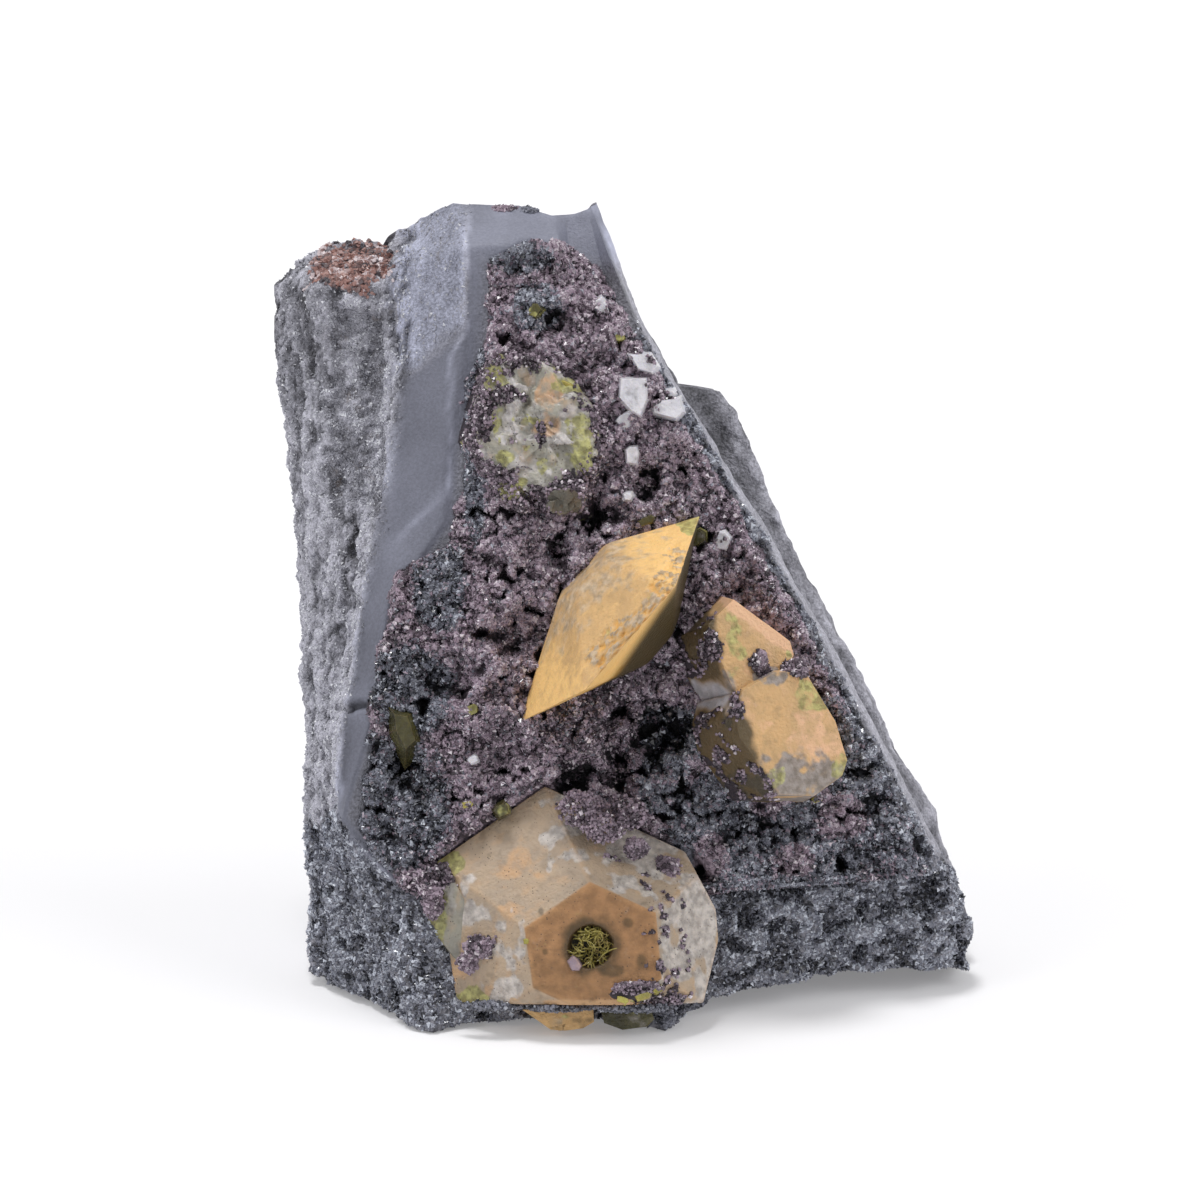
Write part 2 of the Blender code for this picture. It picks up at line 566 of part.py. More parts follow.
def lower_planes():
    """The big lens, broken off level below and cut short where it sits in the stone."""
    axis = np.array([0.0, 0.0, -1.0])
    start = np.array([1.0, 0.0, 0.0])
    turned = [(-azimuth, cap, girdle) for azimuth, cap, girdle in LOWER_FACES]
    planes = pyramid_planes(axis, start, turned, LOWER_HALF_THICKNESS, 1.0)
    planes += pyramid_planes(axis, start, turned, LOWER_BACK, -1.0)
    planes.append((np.array([0.0, -1.0, 0.0]), LOWER_BREAK))
    return np.array(LOWER_CENTRE), planes


def middle_planes():
    """The standing lens: both halves, on an axis that points up, left and a little forward."""
    turn = math.radians(MIDDLE_AXIS_TURN)
    forward = math.radians(MIDDLE_TIP_FORWARD)
    axis = np.array([math.cos(turn) * math.cos(forward), math.sin(turn) * math.cos(forward),
                     -math.sin(forward)])
    start = unit((math.sin(turn), -math.cos(turn), 0.0))
    planes = pyramid_planes(axis, start, MIDDLE_FACES_ABOVE, MIDDLE_HALF_THICKNESS, 1.0)
    planes += pyramid_planes(axis, start, MIDDLE_FACES_BELOW, MIDDLE_HALF_THICKNESS, -1.0)
    return np.array(MIDDLE_CENTRE), planes


def make_convex(name, middle, planes, look, grow=0.0):
    """The solid inside all the planes: a cube with everything outside each plane cut off."""
    form = bmesh.new()
    bmesh.ops.create_cube(form, size=BLANK_SIZE)
    for direction, distance in planes:
        result = bmesh.ops.bisect_plane(form, geom=form.verts[:] + form.edges[:] + form.faces[:],
                                        dist=CUT_TOLERANCE, plane_co=direction * (distance + grow),
                                        plane_no=direction, clear_outer=True)
        rim = [part for part in result["geom_cut"] if isinstance(part, bmesh.types.BMEdge)]
        if rim:
            bmesh.ops.contextual_create(form, geom=rim)
    bmesh.ops.remove_doubles(form, verts=form.verts, dist=MERGE_DISTANCE)
    form.verts.ensure_lookup_table()
    vertices = np.array([vertex.co[:] for vertex in form.verts]) + middle
    faces = [tuple(vertex.index for vertex in face.verts) for face in form.faces]
    form.free()
    return make_object(name, vertices, faces, look)


def make_crystal(name, bodies, look):
    """One crystal of one or more lobes grown together, and the cutters that open its socket."""
    whole = None
    cutters = []
    for index, (middle, planes) in enumerate(bodies):
        lobe_name = name if index == 0 else name + "_lobe_" + str(index + 1)
        lobe = make_convex(lobe_name, middle, planes, look if index == 0 else None)
        cutter = make_convex(name + "_socket_" + str(index + 1), middle, planes, None, GAP)
        hide_guide(cutter)
        cutters.append(cutter)
        if index == 0:
            whole = lobe
        else:
            hide_guide(lobe)
            add_boolean(whole, lobe, "UNION")
    return whole, cutters


def make_cap_pit(crystal):
    """The round pit in the middle of the big lens's cap."""
    x, h, radius, depth = CAP_PIT
    front = LOWER_CENTRE[2] - LOWER_HALF_THICKNESS
    sides = CAP_PIT_SIDES
    rows = [(radius, front - depth), (radius, front), (radius * CAP_PIT_FLOOR, front + depth)]
    vertices = []
    for r, d in rows:
        for side in range(sides):
            angle = 2.0 * math.pi * side / sides
            vertices.append((x + r * math.cos(angle), h + r * math.sin(angle), d))
    faces = ring_faces(len(rows), sides)
    faces.append(tuple(range(sides)))
    faces.append(tuple(range(3 * sides - 1, 2 * sides - 1, -1)))
    pit = make_object("cap_pit", np.array(vertices), faces, None)
    hide_guide(pit)
    add_boolean(crystal, pit, "DIFFERENCE")


def lobes(rows):
    """Middle and planes of each lobe in a list."""
    return [lobe_planes(**row) for row in rows]


def build():
    """All the pieces, each set into the stone and the druse with a clear gap."""
    clear_scene()
    rock = make_rock()
    crust = make_crust()
    bed = make_bed()
    hide_guide(bed)
    sockets = bpy.data.collections.new("sockets")
    bpy.context.scene.collection.children.link(sockets)
    crystals = [
        ("lower_crystal", [lower_planes()], TAN_LOOK),
        ("middle_crystal", [middle_planes()], OCHRE_LOOK),
        ("right_crystal", lobes(RIGHT_LOBES), OCHRE_LOOK),
        ("upper_crystal", lobes(UPPER_LOBES), COATED_LOOK),
        ("foot_crystal_orange", lobes(FOOT_ORANGE_LOBES), OCHRE_LOOK),
        ("foot_crystal_olive", lobes(FOOT_OLIVE_LOBES), OLIVE_LOOK),
        ("olive_blade", lobes(OLIVE_BLADE_LOBES), OLIVE_LOOK),
    ]
    for name, rows in PALE_PLATES.items():
        crystals.append((name, lobes(rows), PALE_LOOK))
    for name, bodies, look in crystals:
        crystal, cutters = make_crystal(name, bodies, look)
        if name == "lower_crystal":
            make_cap_pit(crystal)
        for cutter in cutters:
            bpy.context.collection.objects.unlink(cutter)
            sockets.objects.link(cutter)
    add_boolean(rock, bed, "DIFFERENCE")
    add_boolean(rock, sockets, "DIFFERENCE")
    add_boolean(crust, sockets, "DIFFERENCE")


build()
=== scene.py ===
# %% [markdown]
# Sturmanite on a garnet druse
#
# The real thing is one broken block of manganese ore. A crust of tiny garnets grew over its front,
# and flat, lens-shaped crystals of sturmanite grew in that crust. Nothing on it was made by hand, so
# every surface here is natural: a break, a crystal face or a heap of grains.
# The frame gives the solids at their real size. This script lays finer surfaces over the same forms.

import math

import bpy
import numpy as np
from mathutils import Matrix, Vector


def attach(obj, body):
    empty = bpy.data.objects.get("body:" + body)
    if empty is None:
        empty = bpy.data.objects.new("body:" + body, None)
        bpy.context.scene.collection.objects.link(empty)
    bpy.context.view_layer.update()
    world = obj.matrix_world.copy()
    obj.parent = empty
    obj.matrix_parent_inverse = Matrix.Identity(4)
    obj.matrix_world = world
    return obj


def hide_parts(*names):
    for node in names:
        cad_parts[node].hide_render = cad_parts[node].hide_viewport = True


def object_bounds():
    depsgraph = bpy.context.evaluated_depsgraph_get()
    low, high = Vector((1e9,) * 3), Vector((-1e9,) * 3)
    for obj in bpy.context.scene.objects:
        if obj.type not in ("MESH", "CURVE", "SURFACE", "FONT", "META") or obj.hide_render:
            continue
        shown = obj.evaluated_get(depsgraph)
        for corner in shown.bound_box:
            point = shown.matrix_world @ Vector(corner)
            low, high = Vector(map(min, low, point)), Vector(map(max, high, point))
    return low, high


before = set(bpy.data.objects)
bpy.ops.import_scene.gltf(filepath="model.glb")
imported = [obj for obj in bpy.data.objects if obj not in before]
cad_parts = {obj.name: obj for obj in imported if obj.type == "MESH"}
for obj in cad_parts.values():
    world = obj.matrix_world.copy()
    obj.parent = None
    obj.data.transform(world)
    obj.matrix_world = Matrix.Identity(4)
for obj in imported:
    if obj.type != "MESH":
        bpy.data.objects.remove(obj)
cad_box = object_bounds()
print("nodes in the frame:", sorted(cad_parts))

# %% [markdown]
# The leaning face
#
# The front of the block leans back by 18 degrees, and everything on it is laid out on that face:
# x to the right, h up the face and d back into the stone, in millimetres. Working in the face's own
# directions keeps each size readable, and one function turns them into the frame's metres at the end.

# %% Distances and the turn into the frame
MM = 0.001
LEAN = math.radians(18.0)
FOOT_MIDDLE = 15.0
BOX_MARGIN = 0.02


def to_world(points):
    """Turn rows of (x, h, d) in millimetres into rows in metres.

    Back is d cos(lean) + h sin(lean) less the distance to the foot's middle, and up is
    h cos(lean) - d sin(lean).
    """
    points = np.asarray(points, dtype=float)
    x, h, d = points[..., 0], points[..., 1], points[..., 2]
    back = d * math.cos(LEAN) + h * math.sin(LEAN) - FOOT_MIDDLE
    up = h * math.cos(LEAN) - d * math.sin(LEAN)
    return MM * np.stack([x, back, up], axis=-1)


def from_world(place):
    """The same turn backwards, from millimetres in the frame to (x, h, d)."""
    back = place[..., 1] + FOOT_MIDDLE
    h = back * math.sin(LEAN) + place[..., 2] * math.cos(LEAN)
    d = back * math.cos(LEAN) - place[..., 2] * math.sin(LEAN)
    return np.stack([place[..., 0], h, d], axis=-1)


box_low = np.array(cad_box[0][:]) + BOX_MARGIN * MM
box_high = np.array(cad_box[1][:]) - BOX_MARGIN * MM
print("the solids reach from", np.round(box_low / MM, 1), "to", np.round(box_high / MM, 1), "mm")

# %% [markdown]
# Roughness from lattice noise
#
# Broken stone and grown crusts are rough at many sizes at once. Noise made from numbers on a lattice
# gives that: one layer for the broad swell, finer layers for grain. The scattered-seed noise gives
# rounded bumps with creases between them, as on a crust of crystals. Both always give the same
# numbers for the same place, so nothing changes from one run to the next.

# %% Noise
def lattice_value(ix, iy, iz, seed):
    """A fixed number from -1 to 1 for each corner of a cubic lattice."""
    n = (ix * 374761393 + iy * 668265263 + iz * 2147483647 + seed * 144665) & 0xFFFFFFFF
    n = ((n ^ (n >> 13)) * 1274126177) & 0xFFFFFFFF
    n = (n ^ (n >> 16)) & 0xFFFFFF
    return n / float(0x7FFFFF) - 1.0


def wave(points, size, seed):
    """Smooth noise from -1 to 1: the eight lattice numbers round a point, blended on each axis."""
    scaled = np.asarray(points, dtype=float) / size + 1000.0
    cell = np.floor(scaled).astype(np.int64)
    part = scaled - cell
    part = part * part * (3.0 - 2.0 * part)
    total = 0.0
    for corner in range(8):
        step = np.array([corner & 1, (corner >> 1) & 1, (corner >> 2) & 1])
        weight = np.prod(np.where(step == 1, part, 1.0 - part), axis=-1)
        at = cell + step
        total = total + weight * lattice_value(at[..., 0], at[..., 1], at[..., 2], seed)
    return total


def fractal(points, size, layers, seed):
    """Waves added up, each half the size and half the strength of the one before."""
    total = 0.0
    for layer in range(layers):
        total = total + wave(points, size / 2 ** layer, seed + layer) / 2 ** layer
    return total


def seeds_near(points, size, seed):
    """Distance to the nearest scattered seed, in cells, and that seed's own number from -1 to 1."""
    scaled = np.asarray(points, dtype=float) / size + 1000.0
    base = np.floor(scaled).astype(np.int64)
    nearest = np.full(scaled.shape[:-1], 9.0)
    own = np.zeros(scaled.shape[:-1])
    for step in np.ndindex(3, 3, 3):
        at = base + np.array(step) - 1
        ix, iy, iz = at[..., 0], at[..., 1], at[..., 2]
        jitter = np.stack([lattice_value(ix, iy, iz, seed + k) for k in range(3)], axis=-1)
        away = np.linalg.norm(scaled - (at + 0.5 + 0.45 * jitter), axis=-1)
        closer = away < nearest
        nearest = np.where(closer, away, nearest)
        own = np.where(closer, lattice_value(ix, iy, iz, seed + 3), own)
    return nearest, own


def blurred(field, rounds):
    """A field smoothed by passing a quarter of each value to its neighbours, a number of times."""
    for turn in range(rounds):
        for axis in (0, 1):
            beside = np.roll(field, 1, axis) + np.roll(field, -1, axis)
            field = 0.5 * field + 0.25 * beside
    return field


def ease(value, low, high):
    """0 below low, 1 above high and a smooth rise between them."""
    share = np.clip((value - low) / (high - low), 0.0, 1.0)
    return share * share * (3.0 - 2.0 * share)


# %% [markdown]
# From arrays to a mesh
#
# Each piece is a table of points. A closed sleeve of rings suits both the block and the crystals: its
# columns run round and its rows run along. The mesh takes whole arrays at once, which is quick, and
# named masks go with the points, so that a finish can tell a worn edge from a hollow.

# %% Meshes
def make_piece(name, points, faces, masks, finish, nodes=(), smooth=True):
    """A piece from (x, h, d) points and a list of face arrays, each (count, corners)."""
    place = np.clip(to_world(points).reshape(-1, 3), box_low, box_high)
    loops = np.concatenate([block.ravel() for block in faces])
    sizes = np.concatenate([np.full(len(block), block.shape[1]) for block in faces])
    starts = np.concatenate([[0], np.cumsum(sizes)[:-1]])
    mesh = bpy.data.meshes.new(name)
    mesh.vertices.add(len(place))
    mesh.vertices.foreach_set("co", place.astype(np.float32).ravel())
    mesh.loops.add(len(loops))
    mesh.loops.foreach_set("vertex_index", loops.astype(np.int32))
    mesh.polygons.add(len(sizes))
    mesh.polygons.foreach_set("loop_start", starts.astype(np.int32))
    mesh.update(calc_edges=True)
    mesh.polygons.foreach_set("use_smooth", np.full(len(sizes), smooth))
    for key, values in masks.items():
        layer = mesh.attributes.new(key, "FLOAT", "POINT")
        layer.data.foreach_set("value", np.asarray(values, dtype=np.float32).ravel())
    mesh.materials.append(finish)
    piece = bpy.data.objects.new(name, mesh)
    bpy.context.scene.collection.objects.link(piece)
    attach(piece, "root")
    if nodes:
        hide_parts(*nodes)
    triangles = int((sizes - 2).sum())
    print(name, "has", triangles, "triangles")
    return piece


def sleeve_faces(rows, columns, first=0):
    """Quads of a sleeve whose columns close on themselves, seen from outside."""
    row, column = np.meshgrid(np.arange(rows - 1), np.arange(columns), indexing="ij")
    here = first + row * columns + column
    beside = first + row * columns + (column + 1) % columns
    return np.stack([here, beside, beside + columns, here + columns], axis=-1).reshape(-1, 4)


def sheet_faces(rows, columns, first=0):
    """Quads of an open sheet of rows and columns."""
    row, column = np.meshgrid(np.arange(rows - 1), np.arange(columns - 1), indexing="ij")
    here = first + row * columns + column
    return np.stack([here, here + 1, here + columns + 1, here + columns], axis=-1).reshape(-1, 4)


def fan_faces(ring, middle):
    """Triangles from each side of a ring to one middle point."""
    ring = np.asarray(ring)
    return np.stack([ring, np.roll(ring, -1), np.full(len(ring), middle)], axis=-1)


# %% [markdown]
# Finishes
#
# A mineral's finish has three layers: a body colour that drifts, marks such as dust or rust in some
# places only, and a fine bump that catches the light. A few small helpers write that as shader nodes.
# All patterns read the piece's own coordinates in the frame, or its masks, so they stay on the stone.

# %% Helpers for shader nodes
def plug(tree, socket, value):
    """Link a socket, or set its own value."""
    if isinstance(value, bpy.types.NodeSocket):
        tree.links.new(value, socket)
    else:
        socket.default_value = value


def mixed(tree, share, first, second):
    """One colour turning into another."""
    item = tree.nodes.new("ShaderNodeMix")
    item.data_type = "RGBA"
    plug(tree, item.inputs[0], share)
    plug(tree, item.inputs[6], first)
    plug(tree, item.inputs[7], second)
    return item.outputs[2]


def maths(tree, operation, first, second):
    """One step of arithmetic on two values."""
    item = tree.nodes.new("ShaderNodeMath")
    item.operation = operation
    plug(tree, item.inputs[0], first)
    plug(tree, item.inputs[1], second)
    return item.outputs[0]


def ranged(tree, value, low, high):
    """0 below low, 1 above high."""
    item = tree.nodes.new("ShaderNodeMapRange")
    item.interpolation_type = "SMOOTHSTEP"
    plug(tree, item.inputs["Value"], value)
    item.inputs["From Min"].default_value = low
    item.inputs["From Max"].default_value = high
    return item.outputs["Result"]


def cloud(tree, size_mm, detail=4.0, stretch=(1.0, 1.0, 1.0)):
    """Noise on object coordinates, about size_mm from one light place to the next."""
    place = tree.nodes.new("ShaderNodeTexCoord")
    turn = tree.nodes.new("ShaderNodeMapping")
    turn.inputs["Scale"].default_value = stretch
    tree.links.new(place.outputs["Object"], turn.inputs["Vector"])
    item = tree.nodes.new("ShaderNodeTexNoise")
    tree.links.new(turn.outputs["Vector"], item.inputs["Vector"])
    item.inputs["Scale"].default_value = 1.0 / (size_mm * MM)
    item.inputs["Detail"].default_value = detail
    return item.outputs["Fac"]


def specks(tree, size_mm):
    """Distance to the nearest scattered point, about size_mm apart."""
    place = tree.nodes.new("ShaderNodeTexCoord")
    item = tree.nodes.new("ShaderNodeTexVoronoi")
    tree.links.new(place.outputs["Object"], item.inputs["Vector"])
    item.inputs["Scale"].default_value = 1.0 / (size_mm * MM)
    return item.outputs["Distance"]


def mask(tree, name):
    """One of the piece's own masks."""
    item = tree.nodes.new("ShaderNodeAttribute")
    item.attribute_name = name
    return item.outputs["Fac"]


def torn(tree, name, size_mm=0.7, low=0.36, high=0.60):
    """A mask with noise added, then eased between two limits: close limits tear it, wide ones dust it."""
    noise = maths(tree, "MULTIPLY", maths(tree, "SUBTRACT", cloud(tree, size_mm, 9.0), 0.5), 1.5)
    return ranged(tree, maths(tree, "ADD", mask(tree, name), noise), low, high)


def solid(colour):
    """A colour with full alpha."""
    return (*colour, 1.0)


def new_finish(name, roughness, specular=0.5):
    """A material with its node tree and shader."""
    finish = bpy.data.materials.new(name)
    finish.use_nodes = True
    shader = finish.node_tree.nodes["Principled BSDF"]
    shader.inputs["Roughness"].default_value = roughness
    shader.inputs["Specular IOR Level"].default_value = specular
    return finish, finish.node_tree, shader


def add_bump(tree, shader, height, depth_mm):
    """Fine relief that is too small for the mesh."""
    item = tree.nodes.new("ShaderNodeBump")
    item.inputs["Distance"].default_value = depth_mm * MM
    plug(tree, item.inputs["Height"], height)
    tree.links.new(item.outputs["Normal"], shader.inputs["Normal"])


# %% [markdown]
# The block of ore
#
# The block broke along its layers. Its left side shows their rough ends, a narrow step catches the
# light, and one smooth slate-like facet runs beside the druse. It could be sculpted, but its form is
# a set of edges that run up the stone, so it is lofted: each edge line is a short list of (h, x, d)
# from the foot up, and every row of the surface is strung across them at its own height.

# %% The block's edge lines
EDGE_LINES = {
    "left_rim": [(4.4, -23.5, 10.0), (12.0, -23.8, 10.0), (32.5, -24.0, 10.0), (47.9, -25.8, 11.0),
                 (54.0, -26.7, 11.5), (56.6, -26.5, 11.5), (57.9, -25.8, 13.0)],
    "left_crease": [(3.3, -22.1, 8.5), (15.8, -22.9, 8.0), (32.5, -22.9, 8.0), (47.8, -24.1, 9.0),
                    (56.6, -24.8, 9.0), (58.5, -24.3, 12.5)],
    "left_ledge": [(2.8, -20.3, 6.5), (7.5, -21.1, 6.5), (15.8, -22.1, 6.5), (32.5, -21.9, 7.0),
                   (53.8, -22.5, 7.0), (56.3, -22.8, 6.5), (59.9, -21.9, 12.5)],
    "step_foot": [(1.6, -17.4, 3.0), (7.0, -19.4, 4.5), (15.7, -21.7, 5.0), (23.5, -21.3, 5.0),
                  (40.1, -19.3, 6.0), (47.7, -18.0, 6.0), (56.5, -17.9, 6.0), (60.1, -17.8, 11.5)],
    "step_top": [(0.3, -15.2, 0.3), (6.6, -16.8, 1.5), (12.3, -19.1, 2.5), (15.8, -21.4, 3.4),
                 (23.5, -20.7, 3.0), (40.1, -18.1, 3.5), (53.7, -15.8, 4.0), (58.1, -15.9, 4.8),
                 (61.6, -15.7, 9.0)],
    "ridge": [(0.1, -14.0, 0.0), (7.0, -15.0, 0.5), (12.1, -17.6, 1.2), (15.8, -20.9, 2.4),
              (23.5, -19.0, 1.6), (32.5, -17.6, 1.6), (38.5, -13.4, 1.5), (53.6, -11.9, 1.8),
              (58.9, -11.8, 2.4), (62.7, -12.7, 6.5)],
    "druse_left": [(0.7, -12.2, 1.0), (7.0, -13.5, 1.0), (11.8, -16.8, 1.0), (16.1, -20.4, 2.2),
                   (23.5, -18.5, 1.6), (32.5, -17.1, 1.6), (38.5, -12.6, 1.6), (53.6, -10.3, 1.8),
                   (59.1, -9.9, 2.2), (62.6, -10.1, 6.5)],
    "front_left": [(1.1, -7.5, 1.6), (7.7, -8.6, 1.6), (16.0, -10.5, 0.8), (23.5, -11.3, 0.5),
                   (32.5, -9.8, 0.5), (40.1, -7.5, 0.8), (53.6, -6.9, 1.4), (59.9, -6.8, 2.0),
                   (62.6, -7.7, 6.5)],
    "front_middle": [(1.1, 0.0, 1.8), (7.7, -0.4, 1.8), (23.5, -2.6, 0.6), (32.5, -3.0, 0.6),
                     (47.6, -3.8, 1.2), (59.7, -4.5, 2.2), (61.9, -5.2, 6.0)],
    "foot_lump": [(0.2, 3.4, 0.3), (2.6, 4.0, 1.2), (7.6, 4.4, 2.9), (23.5, 1.4, 0.9),
                  (40.1, -0.6, 1.2), (53.6, -2.9, 1.9), (61.9, -4.3, 6.0)],
    "front_right": [(2.6, 6.6, 3.0), (7.6, 8.7, 4.0), (12.2, 8.7, 2.6), (23.5, 5.3, 1.2),
                    (32.5, 3.4, 1.2), (40.1, 1.5, 1.5), (53.6, -1.7, 2.2), (61.9, -3.4, 6.0)],
    "front_far_right": [(4.4, 17.1, 7.0), (7.5, 17.1, 5.2), (12.1, 16.5, 4.0), (23.5, 12.4, 2.2),
                        (40.1, 5.3, 2.0), (53.7, -0.1, 2.5), (62.1, -2.4, 6.0)],
    "druse_right": [(4.7, 25.3, 8.0), (7.5, 25.9, 7.0), (12.1, 24.1, 5.4), (23.5, 18.3, 3.4),
                    (32.5, 13.4, 2.8), (40.1, 8.9, 2.8), (53.7, 1.1, 2.8), (58.1, -0.6, 3.0),
                    (62.3, -2.1, 6.2)],
    "right_rim": [(4.3, 26.5, 9.0), (6.6, 26.9, 8.6), (12.0, 25.0, 7.2), (23.5, 19.0, 5.2),
                  (32.5, 14.2, 4.6), (40.1, 9.6, 4.6), (53.7, 1.8, 4.6), (58.1, 0.1, 4.8),
                  (62.5, -1.7, 6.8)],
    "valley": [(4.6, 26.2, 12.5), (12.0, 24.6, 10.0), (23.5, 18.7, 8.6), (32.5, 13.9, 8.0),
               (53.7, 1.5, 7.6), (61.9, -2.0, 8.0)],
    "slab_front": [(4.9, 26.3, 14.0), (7.2, 26.9, 13.5), (11.8, 25.5, 12.0), (15.7, 23.9, 11.0),
                   (23.4, 20.1, 10.2), (32.5, 15.1, 9.5), (40.2, 11.4, 9.0), (47.0, 8.6, 9.0),
                   (48.3, 7.6, 9.0), (48.7, 4.4, 9.2), (58.4, -0.8, 9.0), (61.5, -2.3, 9.0)],
    "slab_back": [(6.8, 25.4, 20.0), (12.0, 25.0, 19.5), (23.4, 19.8, 18.5), (32.5, 14.7, 18.0),
                  (40.0, 10.9, 17.5), (46.6, 7.8, 17.0), (48.0, 4.2, 16.0), (58.0, -1.4, 12.0),
                  (60.6, -3.0, 10.5)],
    "back_right": [(9.0, 14.8, 27.0), (30.0, 11.0, 21.5), (47.0, 2.5, 16.5), (59.0, -5.0, 12.5)],
    "back_middle": [(9.4, -1.0, 28.4), (30.0, -3.0, 22.0), (50.0, -7.0, 15.5), (58.2, -10.0, 13.2)],
    "back_left": [(9.1, -14.0, 27.6), (30.0, -15.5, 22.0), (50.0, -16.5, 16.5), (57.4, -17.0, 14.6)],
    "left_back": [(7.8, -20.8, 23.0), (30.0, -22.6, 20.0), (50.0, -24.0, 17.5), (56.6, -24.3, 16.0)],
    "left_side": [(5.7, -23.3, 16.0), (30.0, -23.8, 15.0), (50.0, -25.8, 14.5), (57.0, -25.7, 14.4)],
}

# Columns from each line to the next. The front and the rest have the same number, for the top
FRONT_CELLS = [8, 8, 14, 11, 12, 5, 17, 22, 12, 12, 20, 22, 7]
REST_CELLS = [12, 6, 20, 26, 32, 28, 20, 16, 10]
ROCK_ROWS = 236
TOP_CELLS = 30
TOP_BULGE = 0.6
FOOT_INSET = 3.0
FOOT_ROWS = 12
ROCK_WAVE = 0.4
ROCK_WAVE_SIZE = 5.5
BACK_WAVE = 1.0
BACK_WAVE_SIZE = 9.0
HIDDEN_FROM = 12.0
HIDDEN_OVER = 6.0
CALM_FOOT = 0.5
CALM_FADE = 3.0
BREAK_MIDDLE = np.array([0.0, 0.0, 28.0])
BREAKS = [((0.50, 0.75, 0.45), 18.0), ((-0.42, 0.80, 0.42), 29.5), ((0.10, 0.99, 0.12), 16.2),
          ((-0.62, 0.78, 0.06), 27.2), ((0.66, 0.72, 0.20), 16.8)]
line_names = list(EDGE_LINES)
stretch_start = np.concatenate([[0], np.cumsum(FRONT_CELLS + REST_CELLS)])
print("the block has", stretch_start[-1], "columns round it")


# %% Rings round the block, and its depth at any place in front
def line_at(name, share):
    """The (x, h, d) of one edge line at an array of shares of its height."""
    heights, xs, ds = (np.array(values) for values in zip(*EDGE_LINES[name]))
    h = heights[0] + share * (heights[-1] - heights[0])
    return np.stack([np.interp(h, heights, xs), h, np.interp(h, heights, ds)], axis=-1)


def block_rings(rows):
    """Rows of points round the block: straight runs from each edge line to the next."""
    share = np.linspace(0.0, 1.0, rows)
    lines = [line_at(name, share) for name in line_names]
    runs = []
    for here, after, cells in zip(lines, lines[1:] + lines[:1], FRONT_CELLS + REST_CELLS):
        step = (np.arange(cells) / cells)[None, :, None]
        runs.append(here[:, None, :] * (1.0 - step) + after[:, None, :] * step)
    return np.concatenate(runs, axis=1)


def depth_table():
    """A table of the front face's depth, read across the front edge lines at each height."""
    hs = np.arange(0.0, 63.0, 0.1)
    xs = np.arange(-24.0, 28.0, 0.1)
    crossing = []
    for name in line_names[4:14]:
        heights, line_x, line_d = (np.array(values) for values in zip(*EDGE_LINES[name]))
        crossing.append((np.interp(hs, heights, line_x), np.interp(hs, heights, line_d)))
    table = np.empty((len(hs), len(xs)))
    for row in range(len(hs)):
        at = sorted((line_x[row], line_d[row]) for line_x, line_d in crossing)
        table[row] = np.interp(xs, [a[0] for a in at], [a[1] for a in at])
    return hs, xs, table


table_h, table_x, table_d = depth_table()


def front_depth(x, h):
    """Depth of the front face at any (x, h), blended from the four nearest places in the table."""
    row = np.clip((h - table_h[0]) / 0.1, 0, len(table_h) - 1.001)
    column = np.clip((x - table_x[0]) / 0.1, 0, len(table_x) - 1.001)
    r, c = row.astype(int), column.astype(int)
    fr, fc = row - r, column - c
    low = table_d[r, c] * (1 - fc) + table_d[r, c + 1] * fc
    high = table_d[r + 1, c] * (1 - fc) + table_d[r + 1, c + 1] * fc
    return low * (1 - fr) + high * fr


# %% [markdown]
# Where the druse lies
#
# The crust of garnets covers the middle of the face. Its outline is needed twice: the block sinks away
# under it, and the crust itself ends there. Its two edges are short chains of (h, x), and how far a
# place lies inside them tells the block and the crust what to do.

# %% The druse's outline
CRUST_LEFT = [(7.2, -12.0), (11.6, -17.1), (15.4, -20.2), (21.5, -19.4), (29.0, -18.5), (34.8, -16.9),
              (36.8, -13.0), (42.0, -12.1), (48.8, -12.1), (52.0, -10.6), (58.2, -10.1), (60.0, -7.0)]
CRUST_RIGHT = [(7.2, -6.0), (9.2, 4.0), (10.8, 9.2), (11.2, 17.2), (11.8, 23.8), (15.9, 22.2),
               (23.5, 18.0), (32.5, 13.2), (40.1, 8.7), (47.7, 4.1), (53.7, 0.7), (57.6, -1.2),
               (59.4, -3.8), (60.0, -6.0)]
PITS = [(-2.2, 38.7, 1.7, 2.2), (-4.6, 36.2, 1.2, 1.6), (-3.4, 19.2, 1.8, 2.2), (-0.3, 19.8, 1.6, 2.0),
        (-4.9, 53.4, 1.5, 1.8), (2.2, 41.5, 1.2, 1.4), (3.2, 22.6, 3.0, 2.0), (-13.5, 26.5, 1.6, 1.5),
        (9.5, 15.5, 2.2, 1.8), (-8.5, 29.5, 1.3, 1.4), (18.8, 17.0, 1.3, 1.3), (-16.0, 20.0, 1.4, 1.3)]


def chain_x(chain, h):
    """The x of an edge chain at each height."""
    return np.interp(h, [point[0] for point in chain], [point[1] for point in chain])


def inside_druse(x, h):
    """How far inside the druse's outline a place is, in millimetres: the least of its distances."""
    sideways = np.minimum(x - chain_x(CRUST_LEFT, h), chain_x(CRUST_RIGHT, h) - x)
    upright = np.minimum(h - CRUST_LEFT[0][0], CRUST_LEFT[-1][0] - h)
    return np.minimum(sideways, upright)


# %% [markdown]
# Relief of the ore
#
# Each part of the block has its own skin. The layer ends on the left are furrowed and grainy, the
# slate facet is nearly smooth, the foot is a black drusy break full of small holes, and the hidden
# sides are broken flat with a few layer steps. The relief is pushed out along the surface's own
# direction, by an amount that those masks choose.

# %% Shape the block
LAYER_STEP = 2.6
SUNK_UNDER_DRUSE = 4.4


